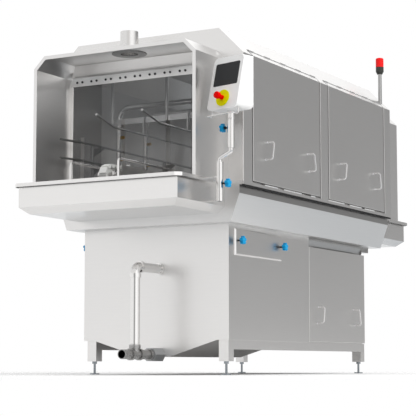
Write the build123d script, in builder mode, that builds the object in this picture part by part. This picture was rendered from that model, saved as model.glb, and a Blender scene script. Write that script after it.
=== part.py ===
"""Crate tunnel washer: conveyor tunnel with hoods, trays, wash tank, spray pipework and control post."""
import math
import os

from build123d import *

os.makedirs("parts", exist_ok=True)

# Axes: X across the machine with the doors at +X, Y along the crate run, Z up from the floor.

# Sheet metal and fits
sheet = 3.0                      # wall of every folded panel
plate = 5.0                      # flat bar brackets
running_fit = 0.05               # radial clearance of pins and shafts in their bores
loose_fit = 0.5                  # radial clearance of pipes through panels
panel_gap = 3.0                  # joint around flaps
door_gap = 12.0                  # joint around the doors
fold_radius = 2.5                # outer radius of folded edges

# Tunnel
tunnel_half_width = 638.0
tunnel_half_length = 1071.0
tunnel_top = 1958.0
roof_chamfer = 155.0
wall_foot = 1074.0               # lower edge of the tunnel walls
passage_half_width = 515.0
passage_top = 1752.0
passage_floor = 1015.0           # lower edge of the opening in the base

# Tunnel base with turned lip, upright band and sloped skirt
band_half_width = 612.0
base_lip_drop = 17.0             # upright edge of the lip under the doors
skirt_top = 1007.0
skirt_half_width = 555.0
skirt_foot = 851.0
drain_slot_width = 240.0
drain_slot_height = 20.0

# Gull-wing doors on the +X side
post_width = 108.0
mullion_width = 111.0
post_depth = 40.0
door_depth = 25.0
door_flange = 34.0               # rise of the sloped top flange up to the hinge line
hinge_rod_radius = 4.0
knuckle_radius = 7.0
knuckle_length = 60.0
knuckle_slot = 1.0               # room between a knuckle and the edge beside it
bow_radius = 5.5
bow_reach = 45.0
bow_length = 105.0
bow_tilt = 12.0
bow_bend = 16.0
door_bow_height = 1277.0
door_bow_inset = 163.0           # bow feet from the door's ends

# Hoods
hood_half_width = 540.0
hood_length = 363.0
hood_top = 1827.0
hood_chamfer = 70.0
hood_return = 21.0
baffle_run = 51.0
baffle_width = 4.0               # level thickness of the sloped baffle
baffle_lift = 10.0               # baffle above the crate opening
spigot_radius = 52.0
spigot_top = 1950.0
spigot_flange_radius = 100.0
spigot_collar_radius = 60.0
spigot_from_tunnel = 187.0

# Trays
rim_z = 1070.0
tray_length = 547.0
lip_half_width = 548.0
tray_depth = 171.0
lip_overhang = 28.0
lip_drop = 20.0
lip_corner = 31.0
lip_side_length = 365.0
bevel_run = 45.0
bevel_rise = 37.0

# Wash tank, machine cabinet and stand
tank_half_width = 490.0
tank_front = -973.0
tank_back = 69.0
cabinet_rear = 938.0
tank_foot = 197.0
hopper_half_width = 413.0
hopper_floor_half_width = 105.0
hopper_foot = 104.0
hopper_length = 855.0
leg_size = 62.0
leg_x = 446.0
leg_y = 923.0
leg_foot = 77.0
rail_height = 52.0
foot_plate_radius = 28.0
foot_plate_height = 8.0
foot_spindle_radius = 7.0
foot_nut_flats = 28.0
foot_nut_height = 14.0

# Service panel of the machine cabinet
panel_top = 794.0
panel_return = 20.0
panel_bow_height = 370.0
panel_bow_inset_front = 124.0
panel_bow_inset_rear = 175.0
header_recess = 20.0
header_depth = 36.0
header_foot = 799.0
header_gap = 13.0                # shadow gap between the header's face and the tunnel
header_rear = 905.0
header_tab_lift = 2.0            # end tab above the header's foot
stub_height = 31.0               # lighter bar that runs on under the tunnel
stub_rear = 1056.0
lug_width = 20.0
lug_radius = 6.0
lug_back = 14.0                  # lug behind the hinge axis
lug_wall = 4.0
panel_hinge_back = 10.0          # hinge axis behind the panel's face
panel_hinge_drop = 7.0           # hinge axis below the panel's top edge
panel_knuckle_inset = 60.0

# Filter drawers on both sides of the tank
filter_front = -914.0
filter_length = 588.0
filter_foot = 677.0
filter_height = 153.0
filter_proud = 12.0
filter_bevel = 8.0               # sloped edge of the cover
filter_margin_ends = 45.0        # cover past the wall opening, room for the knob studs
filter_margin_edges = 16.0
filter_rim = 12.0                # solid rim of the cover that seals on the tank
basket_depth = 300.0
basket_gap = 2.0
basket_height = 95.0

# Star knobs
knob_core_radius = 17.0
knob_lobe_radius = 8.5
knob_lobe_circle = 16.5
knob_lobes = 5
knob_thickness = 20.0
knob_neck_radius = 8.0
knob_bevel = 2.0
stud_tip_gap = 2.0               # room between a stud tip and the tube it clamps
stud_radius = 5.0
filter_knob_reach = 34.0         # cover face to the middle of the knob
filter_knob_inset = 27.0
filter_knob_height = 760.0
post_knob_reach = 52.0           # tube axis to the middle of the knob

# Control post
socket_x = 620.0
post_y = -1311.0
head_x = 690.0
socket_top = 1150.0
socket_radius = 20.0
crank_radius = 13.0
crank_foot = 960.0
crank_low_room = 20.0            # socket to the crank's lower corner
crank_rise = 34.0                # lower corner to upper corner
crank_high_room = 18.0           # upper corner to the sleeve
crank_bend = 16.0
crank_top_room = 17.0            # crank's end below the box
sleeve_radius = 20.0
sleeve_length = 205.0
post_knob_z = 1032.0
head_knob_up = 112.0             # knob above the sleeve's foot
socket_tab_width = 36.0

# Control box
head_turn = 15.0                 # box turned on its post towards the middle of the infeed
box_height = 297.0
box_width = 220.0
box_depth = 152.0
box_top_depth = 86.0
box_corner = 24.0
box_back_edge = 30.0
screen_width = 178.0
screen_height = 131.0
screen_up = 202.0                # middle of the screen along the sloped face
screen_corner = 8.0
screen_thickness = 3.0
screen_sunk = 2.0
stop_up = 62.0                   # middle of the stop button along the sloped face
stop_collar_radius = 46.0
stop_collar_height = 6.0
stop_radius = 19.0
stop_neck_radius = 13.0
stop_head_height = 22.0
stop_height = 58.0
stop_travel = 6.0
stop_play = 0.3                  # radial room of the button in its collar
stop_well = 10.0
stop_crown = 5.0
bow_rod_radius = 4.0
bow_rod_drop = 32.0
bow_rod_front = 14.0
bow_rod_back = 31.0
bow_rod_inset = 12.0
bow_rod_bend = 10.0

# Beacon
beacon_from_side = 48.0
beacon_from_end = 54.0
beacon_pole_radius = 12.5
beacon_pole_rise = 92.0          # above the roof
beacon_taper = 9.0
beacon_radius = 27.0
beacon_base_height = 49.0
beacon_lens_height = 64.0
beacon_dome = 10.0

# Crate run
crate_rail_x = 156.0
crate_rail_radius = 7.0
crate_rail_top = 1175.0
crate_rail_bend = 22.0
bar_top = 1000.0
bar_height = 30.0
bar_width = 30.0
bar_y = 843.0
stand_radius = 8.0
guide_x = 440.0
guide_radius = 6.5
guide_wall = 1.5
guide_mouth = 40.0               # depth of the open tube end
guide_low = 1261.0
guide_high = 1369.0
guide_flare_x = 478.0
guide_flare_y = -1253.0
guide_straight_y = -1089.0
guide_bend = 120.0
run_end_y = 1040.0               # rods stop short of the outfeed strips
guide_post_x = 530.0
guide_post_radius = 11.0
guide_post_top = 1385.0
guide_gusset = 60.0
hold_x = 153.0
hold_radius = 6.0
hold_z = 1424.0
hold_rise = 46.0
hold_tip_y = -1357.0
hold_bend_y = -1176.0
hold_bend = 150.0
hold_ball_radius = 10.0
beam_foot = 1500.0
beam_height = 34.0
beam_post_x = 385.0
beam_post_radius = 9.5
beam_post_flare = 30.0
strut_width = 40.0

# Chain conveyor
pitch = 38.1
teeth = 8
run_links = 77
sprocket_z = 1103.0
link_width = 46.0
link_half_height = 10.0
link_gap = 2.0
tooth_width = 8.0
tooth_room = 1.0
tooth_top_room = 3.5
hub_room = 0.5
sprocket_width = 20.0
plate_under = 1.0                # top plate of a link below the pitch line
dog_height = 20.0
dog_length = 12.0
dog_spacing = 11
shaft_radius = 12.5
trough_half_width = 45.0
trough_top = 1165.0
trough_skirt = 55.0
trough_end_room = 8.0
trough_leg = 60.0
fork_overlap = 100.0
fork_half_height = 18.0
fork_reach = 24.0
bearing_radius = 22.0
bearing_width = 10.0
shaft_end = 4.0
gearbox_width = 80.0
gearbox_length = 100.0
gearbox_height = 120.0
gearbox_gap = 8.0
motor_radius = 40.0
motor_length = 190.0

# Strip curtains
strips = 10
strip_pitch = 101.6
strip_width = 99.6
strip_thickness = 3.0
strip_top = 1712.0
strip_foot = 1100.0
strip_foot_middle = 1195.0
strips_centre = 6
hold_slot_half = 14.0
hold_slot_top = 1480.0
guide_slot_half = 14.0
guide_slot_top = 1400.0
curtain_from_wall = 10.0
curtain_rail_foot = 1706.0
curtain_rail_half_length = 512.0
curtain_rail_gap = 4.0
clamp_gap = 3.0

# Spray pipework
pipe_radius = 17.0
header_radius = 21.0
header_past = 30.0               # capped header end past the outer arches
arch_x = 575.0
arch_top = 1680.0
arch_bend = 80.0
arch_stations = (-480.0, -160.0, 480.0)
nozzle_flats = 18.0
nozzle_length = 22.0
nozzle_rise = (190.0, 330.0, 470.0)
nozzle_across = 220.0
riser_x = -300.0
riser_y = 400.0

# Wash pump
pump_z = 430.0
volute_radius = 95.0
volute_width = 90.0
pump_motor_radius = 78.0
pump_motor_length = 230.0
pump_base = 40.0
pump_neck = 20.0
suction_radius = 30.0

# Overflow and drain
overflow_x = 36.0
overflow_z = 607.0
overflow_reach = 266.0
drain_reach = 400.0
drain_z = 115.0
tube_radius = 27.0
tube_bore = 23.0
elbow_bend = 40.0
collar_radius = 33.0
collar_length = 22.0
valve_flats = 74.0
valve_length = 110.0
outlet_bore_depth = 60.0

root2 = math.sqrt(2.0)
tunnel_inside = tunnel_half_length - sheet
shoulder_z = tunnel_top - roof_chamfer
roof_half_flat = tunnel_half_width - roof_chamfer
hinge_x = tunnel_half_width - door_flange - sheet / (2 * root2)
hinge_z = shoulder_z + door_flange - sheet / (2 * root2)
hinge_clear = knuckle_radius + knuckle_slot
bore_radius = hinge_rod_radius + running_fit
fold = sheet * (root2 - 1)       # shift of an inner corner at a 45 degree fold
base_lip_foot = wall_foot - base_lip_drop
door_foot = wall_foot + door_gap
door_outer = tunnel_half_length - post_width - door_gap
door_inner = mullion_width / 2 + door_gap
door_length = door_outer - door_inner
tray_half_width = lip_half_width - lip_overhang
lip_end = tunnel_half_length + tray_length
tray_end = lip_end - lip_overhang
tray_foot = rim_z - tray_depth
socket_foot = tray_foot + bevel_rise
hood_end = tunnel_half_length + hood_length
crank_low_corner = socket_top + crank_low_room
crank_high_corner = crank_low_corner + crank_rise
sleeve_foot = crank_high_corner + crank_high_room
head_knob_z = sleeve_foot + head_knob_up
box_foot = sleeve_foot + sleeve_length
crank_top = box_foot - crank_top_room
spigot_y = -tunnel_half_length - spigot_from_tunnel
beacon_x = tunnel_half_width - beacon_from_side
beacon_y = tunnel_half_length - beacon_from_end
beacon_pole_top = tunnel_top + beacon_pole_rise
curtain_y = tunnel_half_length + curtain_from_wall
crate_rail_z = crate_rail_top - crate_rail_radius
crate_rail_end = lip_end - lip_overhang / 2
pitch_radius = pitch / (2 * math.sin(math.pi / teeth))
pitch_apothem = pitch_radius * math.cos(math.pi / teeth)
sprocket_y = run_links * pitch / 2
skirt_slope = (band_half_width - skirt_half_width) / (skirt_top - skirt_foot)
skirt_wall = sheet * math.hypot(1.0, skirt_slope)


def section(y):
    """Upright plane across the machine at station y; sketch x is X, sketch y is Z, it faces -Y."""
    return Plane.XZ.offset(-y)


def hinge_point(along, out):
    """Point near the door hinge: along runs down the roof slope, out stands off the sheet."""
    return (hinge_x + (along + out) / root2, hinge_z + (out - along) / root2)


def bow_points(x, y, z, lean):
    """Corners of a bow handle: foot, two bar ends, foot, with the bar leaning along Y."""
    dy = bow_length / 2 * math.sin(math.radians(lean))
    dz = bow_length / 2 * math.cos(math.radians(lean))
    low = (x, y - dy, z - dz)
    high = (x, y + dy, z + dz)
    return [low, (x + bow_reach, *low[1:]), (x + bow_reach, *high[1:]), high]


def hood_outline(inset):
    """Hood cross-section inside its skin, standing on the tray rim."""
    half = hood_half_width - inset
    top = hood_top - inset
    cut = hood_chamfer - inset * (2 - root2)
    return [
        (-half, rim_z), (-half, top - cut), (-half + cut, top),
        (half - cut, top), (half, top - cut), (half, rim_z),
    ]


def lip_outline(inset):
    """Rim outline of the infeed tray with cut corners."""
    half = lip_half_width - inset
    end = lip_end - inset
    cut = lip_corner - inset * (2 - root2)
    inner = lip_end - lip_side_length
    return [
        (-half, -inner), (-half, -end + cut), (-half + cut, -end),
        (half - cut, -end), (half, -end + cut), (half, -inner),
    ]


def skirt_inside(z):
    """Half width between the skirt's inner faces at height z."""
    return band_half_width - skirt_slope * (skirt_top - z) - skirt_wall


# Tunnel shell

with BuildPart() as tunnel_base:
    with BuildSketch(Plane.XZ):
        with BuildLine():
            side = Polyline(
                (0, wall_foot), (tunnel_half_width, wall_foot),
                (tunnel_half_width, base_lip_foot), (band_half_width, base_lip_foot),
                (band_half_width, skirt_top), (skirt_half_width, skirt_foot), (0, skirt_foot),
            )
            mirror(side, about=Plane.YZ)
        make_face()
    extrude(amount=tunnel_half_length, both=True)
    offset(
        amount=-sheet, openings=tunnel_base.faces().sort_by(Axis.Z)[-1], kind=Kind.INTERSECTION
    )
    # Crate opening through both end plates
    with BuildSketch(Plane.XZ):
        with Locations((0, (passage_floor + wall_foot) / 2)):
            Rectangle(2 * passage_half_width, wall_foot - passage_floor)
        with Locations((0, tray_foot + sheet + drain_slot_height / 2)):
            SlotOverall(drain_slot_width, drain_slot_height)
    extrude(amount=tunnel_half_length, both=True, mode=Mode.SUBTRACT)
    # Floor opening above the wash tank and the hole for the riser
    with BuildSketch(Plane.XY.offset(skirt_foot)):
        with Locations((0, (tank_front + tank_back) / 2)):
            Rectangle(2 * (tank_half_width - sheet), tank_back - tank_front - 2 * sheet)
        with Locations((riser_x, riser_y)):
            Circle(pipe_radius + loose_fit)
    extrude(amount=sheet, mode=Mode.SUBTRACT)
tunnel_base.part.label = "tunnel_base"
export_step(tunnel_base.part, "parts/tunnel_base.step")

with BuildPart() as tunnel_front_wall:
    with BuildSketch(section(-tunnel_half_length)):
        with BuildLine():
            Polyline(
                (-tunnel_half_width, wall_foot), (-tunnel_half_width, shoulder_z),
                (-roof_half_flat, tunnel_top), (roof_half_flat, tunnel_top),
                (tunnel_half_width, shoulder_z), (tunnel_half_width, wall_foot),
                close=True,
            )
        make_face()
        with Locations((0, (wall_foot + passage_top) / 2)):
            Rectangle(2 * passage_half_width, passage_top - wall_foot, mode=Mode.SUBTRACT)
    extrude(amount=-sheet)
    corners = tunnel_front_wall.edges().filter_by(Axis.Z).group_by(Axis.Y)[0]
    fillet([edge for edge in corners if abs(edge.center().X) > passage_half_width], radius=fold_radius)
tunnel_front_wall.part.label = "tunnel_front_wall"
export_step(tunnel_front_wall.part, "parts/tunnel_front_wall.step")

with BuildPart() as tunnel_rear_wall:
    mirror(tunnel_front_wall.part, about=Plane.XZ)
tunnel_rear_wall.part.label = "tunnel_rear_wall"
export_step(tunnel_rear_wall.part, "parts/tunnel_rear_wall.step")

with BuildPart() as tunnel_left_wall:
    with BuildSketch(section(tunnel_inside)):
        with Locations((-tunnel_half_width, wall_foot)):
            Rectangle(sheet, shoulder_z - wall_foot, align=Align.MIN)
    extrude(amount=2 * tunnel_inside)
tunnel_left_wall.part.label = "tunnel_left_wall"
export_step(tunnel_left_wall.part, "parts/tunnel_left_wall.step")

# Each door carries three knuckles, the roof two between them
door_middles = (-(door_outer + door_inner) / 2, (door_outer + door_inner) / 2)
roof_knuckle_step = (door_length - knuckle_length) / 4

with BuildPart() as tunnel_roof:
    with BuildSketch(section(tunnel_inside)):
        with BuildLine():
            Polyline(
                (-tunnel_half_width, shoulder_z),
                (-roof_half_flat, tunnel_top), (roof_half_flat, tunnel_top),
                hinge_point(-hinge_clear, sheet / 2), hinge_point(-hinge_clear, -sheet / 2),
                (roof_half_flat - fold, tunnel_top - sheet), (-roof_half_flat + fold, tunnel_top - sheet),
                (-tunnel_half_width + sheet * root2, shoulder_z),
                close=True,
            )
        make_face()
    extrude(amount=2 * tunnel_inside)
    for middle in door_middles:
        for side in (-1, 1):
            station = middle + side * roof_knuckle_step
            with BuildSketch(section(station + knuckle_length / 2)):
                with Locations((hinge_x, hinge_z)):
                    Circle(knuckle_radius)
                with BuildLine():
                    Polyline(
                        hinge_point(0, sheet / 2), hinge_point(0, -sheet / 2),
                        hinge_point(-hinge_clear, -sheet / 2), hinge_point(-hinge_clear, sheet / 2),
                        close=True,
                    )
                make_face()
                with Locations((hinge_x, hinge_z)):
                    Circle(bore_radius, mode=Mode.SUBTRACT)
            extrude(amount=knuckle_length)
tunnel_roof.part.label = "tunnel_roof"
export_step(tunnel_roof.part, "parts/tunnel_roof.step")

with BuildPart() as side_posts:
    for low, high, returns in (
        (-tunnel_inside, -door_outer - door_gap, (1,)),
        (-mullion_width / 2, mullion_width / 2, (0, 1)),
        (door_outer + door_gap, tunnel_inside, (0,)),
    ):
        with BuildSketch(section(high)):
            with BuildLine():
                Polyline(
                    hinge_point(-hinge_clear, sheet / 2), (tunnel_half_width, shoulder_z),
                    (tunnel_half_width, wall_foot), (tunnel_half_width - sheet, wall_foot),
                    (tunnel_half_width - sheet, shoulder_z - fold), hinge_point(-hinge_clear, -sheet / 2),
                    close=True,
                )
            make_face()
        extrude(amount=high - low)
        # Returns of the folded post beside the door openings
        for end in returns:
            with BuildSketch(section(low + sheet if end == 0 else high)):
                with Locations((tunnel_half_width - sheet, wall_foot)):
                    Rectangle(
                        post_depth - sheet, shoulder_z - wall_foot - fold, align=(Align.MAX, Align.MIN)
                    )
            extrude(amount=sheet)
    # Rounded folds beside the doors
    outer = side_posts.edges().filter_by(Axis.Z).group_by(Axis.X)[-1]
    fillet([edge for edge in outer if abs(edge.center().Y) < tunnel_inside - sheet], radius=fold_radius)
side_posts.part.label = "side_posts"
export_step(side_posts.part, "parts/side_posts.step")

# Doors

with BuildPart() as front_door:
    with BuildSketch(section(-door_inner)):
        with BuildLine():
            Polyline(
                hinge_point(hinge_clear, sheet / 2),
                (tunnel_half_width, shoulder_z), (tunnel_half_width, door_foot),
                (tunnel_half_width - door_depth, door_foot),
                (tunnel_half_width - door_depth, door_foot + sheet),
                (tunnel_half_width - sheet, door_foot + sheet),
                (tunnel_half_width - sheet, shoulder_z - fold),
                hinge_point(hinge_clear, -sheet / 2),
                close=True,
            )
        make_face()
    extrude(amount=door_length)
    for station in (-door_inner, -door_outer + sheet):
        with BuildSketch(section(station)):
            with Locations((tunnel_half_width - sheet, door_foot)):
                Rectangle(door_depth - sheet, shoulder_z - fold - door_foot, align=(Align.MAX, Align.MIN))
        extrude(amount=sheet)
    for side in (-1, 0, 1):
        station = door_middles[0] + side * (door_length - knuckle_length) / 2
        with BuildSketch(section(station + knuckle_length / 2)):
            with Locations((hinge_x, hinge_z)):
                Circle(knuckle_radius)
            with BuildLine():
                Polyline(
                    hinge_point(0, sheet / 2), hinge_point(0, -sheet / 2),
                    hinge_point(hinge_clear, -sheet / 2), hinge_point(hinge_clear, sheet / 2),
                    close=True,
                )
            make_face()
            with Locations((hinge_x, hinge_z)):
                Circle(bore_radius, mode=Mode.SUBTRACT)
        extrude(amount=knuckle_length)
    # Rounded folds round the outer skin
    skin = front_door.faces().filter_by(Axis.X).sort_by(Axis.X)[-1]
    foot_edge = skin.edges().filter_by(Axis.Y).sort_by(Axis.Z)[0]
    fillet(skin.edges().filter_by(Axis.Z) + [foot_edge], radius=fold_radius)
front_door.part.label = "front_door"
export_step(front_door.part, "parts/front_door.step")

with BuildPart() as rear_door:
    mirror(front_door.part, about=Plane.XZ)
rear_door.part.label = "rear_door"
export_step(rear_door.part, "parts/rear_door.step")

with BuildPart() as front_door_bows:
    for station, lean in (
        (-door_outer + door_bow_inset, bow_tilt), (-door_inner - door_bow_inset, -bow_tilt),
    ):
        corners = bow_points(tunnel_half_width, station, door_bow_height, lean)
        with BuildLine() as bow_path:
            FilletPolyline(*corners, radius=bow_bend)
        with BuildSketch(Plane(origin=corners[0], z_dir=(1, 0, 0))):
            Circle(bow_radius)
        sweep(path=bow_path.wires()[0])
front_door_bows.part.label = "front_door_bows"
export_step(front_door_bows.part, "parts/front_door_bows.step")

with BuildPart() as rear_door_bows:
    for station, lean in (
        (door_inner + door_bow_inset, bow_tilt), (door_outer - door_bow_inset, -bow_tilt),
    ):
        corners = bow_points(tunnel_half_width, station, door_bow_height, lean)
        with BuildLine() as bow_path:
            FilletPolyline(*corners, radius=bow_bend)
        with BuildSketch(Plane(origin=corners[0], z_dir=(1, 0, 0))):
            Circle(bow_radius)
        sweep(path=bow_path.wires()[0])
rear_door_bows.part.label = "rear_door_bows"
export_step(rear_door_bows.part, "parts/rear_door_bows.step")

# Hoods: the outfeed one first, the infeed one is its mirror image with the exhaust hole

with BuildPart() as outfeed_hood:
    # Sloped baffle from the ceiling down to the tunnel wall, trimmed to the inside of the hood
    baffle_foot = passage_top + baffle_lift
    baffle_slope = (hood_top - sheet - baffle_foot) / baffle_run
    with BuildSketch(Plane.YZ):
        with BuildLine():
            Polyline(
                (tunnel_half_length + baffle_run, hood_top - sheet),
                (tunnel_half_length + baffle_run - baffle_width, hood_top - sheet),
                (tunnel_half_length, baffle_foot + baffle_width * baffle_slope),
                (tunnel_half_length, baffle_foot),
                close=True,
            )
        make_face()
    extrude(amount=hood_half_width, both=True)
    with BuildSketch(section(hood_end)):
        with BuildLine():
            Polyline(*hood_outline(sheet), close=True)
        make_face()
    extrude(amount=hood_length, mode=Mode.INTERSECT)
    # Folded skin
    with BuildSketch(section(hood_end)):
        with BuildLine():
            Polyline(*hood_outline(0), close=True)
        make_face()
        with BuildLine():
            Polyline(*hood_outline(sheet), close=True)
        make_face(mode=Mode.SUBTRACT)
    extrude(amount=hood_length)
    # Return flange round the mouth
    with BuildSketch(section(hood_end)):
        with BuildLine():
            Polyline(*hood_outline(0), close=True)
        make_face()
        with BuildLine():
            Polyline(*hood_outline(hood_return), close=True)
        make_face(mode=Mode.SUBTRACT)
    extrude(amount=sheet)
outfeed_hood.part.label = "outfeed_hood"
export_step(outfeed_hood.part, "parts/outfeed_hood.step")

with BuildPart() as infeed_hood:
    mirror(outfeed_hood.part, about=Plane.XZ)
    with Locations((0, spigot_y, hood_top)):
        Hole(spigot_radius + loose_fit, depth=2 * sheet)
infeed_hood.part.label = "infeed_hood"
export_step(infeed_hood.part, "parts/infeed_hood.step")

with BuildPart() as exhaust_spigot:
    with BuildSketch(section(spigot_y)):
        with BuildLine():
            Polyline(
                (spigot_radius - sheet, hood_top - 2 * sheet), (spigot_flange_radius, hood_top - 2 * sheet),
                (spigot_flange_radius, hood_top - sheet), (spigot_radius, hood_top - sheet),
                (spigot_radius, hood_top), (spigot_collar_radius, hood_top),
                (spigot_collar_radius, hood_top + sheet), (spigot_radius, hood_top + sheet),
                (spigot_radius, spigot_top), (spigot_radius - sheet, spigot_top),
                close=True,
            )
        make_face()
    revolve(axis=Axis((0, spigot_y, 0), (0, 0, 1)))
exhaust_spigot.part.label = "exhaust_spigot"
export_step(exhaust_spigot.part, "parts/exhaust_spigot.step")

# Trays

with BuildPart() as infeed_tray:
    # Trough with bevelled foot: outer form first, then its inside
    for wall, mode in ((0, Mode.ADD), (sheet, Mode.SUBTRACT)):
        half = tray_half_width - wall
        length = tray_end - tunnel_half_length - 2 * wall
        shoulder = tray_foot + bevel_rise
        with BuildSketch(Plane.XY.offset(shoulder)):
            with Locations((0, -tunnel_half_length - wall)):
                Rectangle(2 * half, length, align=(Align.CENTER, Align.MAX))
        extrude(amount=rim_z - shoulder, mode=mode)
        with BuildSketch(Plane.XY.offset(shoulder)):
            with Locations((0, -tunnel_half_length - wall)):
                Rectangle(2 * half, length, align=(Align.CENTER, Align.MAX))
        with BuildSketch(Plane.XY.offset(tray_foot + wall)):
            with Locations((0, -tunnel_half_length - wall)):
                Rectangle(2 * (half - bevel_run), length - bevel_run, align=(Align.CENTER, Align.MAX))
        loft(ruled=True, mode=mode)
    # Way for the chain and slot for the water through the end at the tunnel
    with BuildSketch(section(-tunnel_half_length)):
        with Locations((0, passage_floor)):
            Rectangle(2 * (tray_half_width - sheet), rim_z - passage_floor, align=(Align.CENTER, Align.MIN))
        with Locations((0, tray_foot + sheet + drain_slot_height / 2)):
            SlotOverall(drain_slot_width, drain_slot_height)
    extrude(amount=sheet, mode=Mode.SUBTRACT)
    # Rim: wide lip with cut corners, narrower ledge under the rest of the hood
    with BuildSketch(Plane.XY.offset(rim_z)):
        with BuildLine():
            Polyline(*lip_outline(0), close=True)
        make_face()
        with Locations((0, -tunnel_half_length)):
            Rectangle(2 * hood_half_width, tray_length - lip_side_length, align=(Align.CENTER, Align.MAX))
            Rectangle(
                2 * (tray_half_width - sheet), tray_end - sheet - tunnel_half_length,
                align=(Align.CENTER, Align.MAX), mode=Mode.SUBTRACT,
            )
    extrude(amount=-sheet)
    with BuildSketch(Plane.XY.offset(rim_z)):
        with BuildLine():
            Polyline(*lip_outline(0), close=True)
        make_face()
        with BuildLine():
            Polyline(*lip_outline(sheet), close=True)
        make_face(mode=Mode.SUBTRACT)
    extrude(amount=-lip_drop)
infeed_tray.part.label = "infeed_tray"
export_step(infeed_tray.part, "parts/infeed_tray.step")

with BuildPart() as outfeed_tray:
    mirror(infeed_tray.part, about=Plane.XZ)
outfeed_tray.part.label = "outfeed_tray"
export_step(outfeed_tray.part, "parts/outfeed_tray.step")

# Wash tank, machine cabinet and stand

filter_middle = filter_front + filter_length / 2
opening_length = filter_length - 2 * filter_margin_ends
opening_height = filter_height - 2 * filter_margin_edges
opening_z = filter_foot + filter_height / 2

with BuildPart() as wash_tank:
    with BuildSketch(Plane.XY.offset(tank_foot)):
        with Locations((0, tank_front)):
            Rectangle(2 * tank_half_width, tank_back - tank_front, align=(Align.CENTER, Align.MIN))
    extrude(amount=skirt_foot - tank_foot)
    with BuildSketch(section(tank_front)):
        with BuildLine():
            Polyline(
                (-hopper_half_width, tank_foot), (-hopper_floor_half_width, hopper_foot),
                (hopper_floor_half_width, hopper_foot), (hopper_half_width, tank_foot),
                close=True,
            )
        make_face()
    extrude(amount=-hopper_length)
    offset(amount=-sheet, openings=wash_tank.faces().sort_by(Axis.Z)[-1], kind=Kind.INTERSECTION)
    # Openings for the filter drawers in both sides
    with BuildSketch(Plane.YZ):
        with Locations((filter_middle, opening_z)):
            Rectangle(opening_length, opening_height)
    extrude(amount=tank_half_width, both=True, mode=Mode.SUBTRACT)
wash_tank.part.label = "wash_tank"
export_step(wash_tank.part, "parts/wash_tank.step")

panel_front = tank_back + 2 * panel_gap
panel_hinge_x = tank_half_width - panel_hinge_back
panel_hinge_z = panel_top - panel_hinge_drop
panel_foot = tank_foot + panel_gap
cabinet_right = tank_half_width - panel_return - panel_gap
header_x = tank_half_width - header_recess
header_top = skirt_foot - header_gap
header_nose = header_x + skirt_slope * (header_top - header_foot)
lug_stations = (
    panel_front + panel_knuckle_inset - knuckle_slot,
    cabinet_rear - panel_knuckle_inset + knuckle_slot + lug_width,
)

with BuildPart() as machine_cabinet:
    # Floor, far side, rear wall and the front post of the panel opening
    with BuildSketch(Plane.XY.offset(tank_foot)):
        with Locations((-tank_half_width, tank_back)):
            Rectangle(tank_half_width + cabinet_right, cabinet_rear - tank_back, align=Align.MIN)
    extrude(amount=sheet)
    with BuildSketch(Plane.XY.offset(tank_foot)):
        with Locations((-tank_half_width, tank_back)):
            Rectangle(sheet, cabinet_rear - tank_back, align=Align.MIN)
        with Locations((-tank_half_width, cabinet_rear)):
            Rectangle(tank_half_width + cabinet_right, sheet, align=(Align.MIN, Align.MAX))
    extrude(amount=skirt_foot - tank_foot)
    # Header channel above the panel, its face leaning like the skirt
    with BuildSketch(section(header_rear)):
        with BuildLine():
            Polyline(
                (header_x - header_depth, header_foot), (header_x, header_foot), (header_nose, header_top),
                (header_x, header_top), (header_x, skirt_foot), (header_x - sheet, skirt_foot),
                (header_x - sheet, header_top - sheet),
                (header_nose - skirt_slope * sheet - skirt_wall, header_top - sheet),
                (header_x + skirt_slope * sheet - skirt_wall, header_foot + sheet),
                (header_x - header_depth, header_foot + sheet),
                close=True,
            )
        make_face()
    extrude(amount=header_rear - tank_back)
    # Tab at the end of the header, then a lighter bar on under the tunnel
    with BuildSketch(section(header_rear + plate)):
        with Locations((header_nose, header_top)):
            Rectangle(header_depth, header_top - header_foot - header_tab_lift, align=Align.MAX)
    extrude(amount=plate)
    with BuildSketch(section(stub_rear)):
        with Locations((header_x, skirt_foot)):
            Rectangle(header_depth, stub_height, align=Align.MAX)
        with Locations((header_x - sheet, skirt_foot)):
            Rectangle(header_depth, stub_height - sheet, align=Align.MAX, mode=Mode.SUBTRACT)
    extrude(amount=stub_rear - header_rear)
    # Hinge lugs of the service panel under the header
    for station in lug_stations:
        with BuildSketch(section(station)):
            with Locations((panel_hinge_x, panel_hinge_z)):
                Circle(lug_radius)
                Rectangle(lug_back, 2 * lug_radius, align=(Align.MAX, Align.CENTER))
            with Locations((panel_hinge_x - lug_back, panel_hinge_z - lug_radius)):
                Rectangle(lug_wall, header_foot + sheet - panel_hinge_z + lug_radius, align=Align.MIN)
            with Locations((panel_hinge_x, panel_hinge_z)):
                Circle(bore_radius, mode=Mode.SUBTRACT)
        extrude(amount=lug_width)
machine_cabinet.part.label = "machine_cabinet"
export_step(machine_cabinet.part, "parts/machine_cabinet.step")

with BuildPart() as stand:
    # Four square legs joined by a rail under each side of the tank and cabinet
    with BuildSketch(Plane.XY.offset(leg_foot)):
        with GridLocations(2 * leg_x, 2 * leg_y, 2, 2):
            Rectangle(leg_size, leg_size)
            Rectangle(leg_size - 2 * sheet, leg_size - 2 * sheet, mode=Mode.SUBTRACT)
    extrude(amount=tank_foot - leg_foot)
    with BuildSketch(Plane.XZ):
        with Locations((-leg_x, tank_foot), (leg_x, tank_foot)):
            Rectangle(leg_size, rail_height, align=(Align.CENTER, Align.MAX))
            with Locations((0, -sheet)):
                Rectangle(
                    leg_size - 2 * sheet, rail_height - 2 * sheet,
                    align=(Align.CENTER, Align.MAX), mode=Mode.SUBTRACT,
                )
    extrude(amount=leg_y - leg_size / 2, both=True)
stand.part.label = "stand"
export_step(stand.part, "parts/stand.step")

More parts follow.
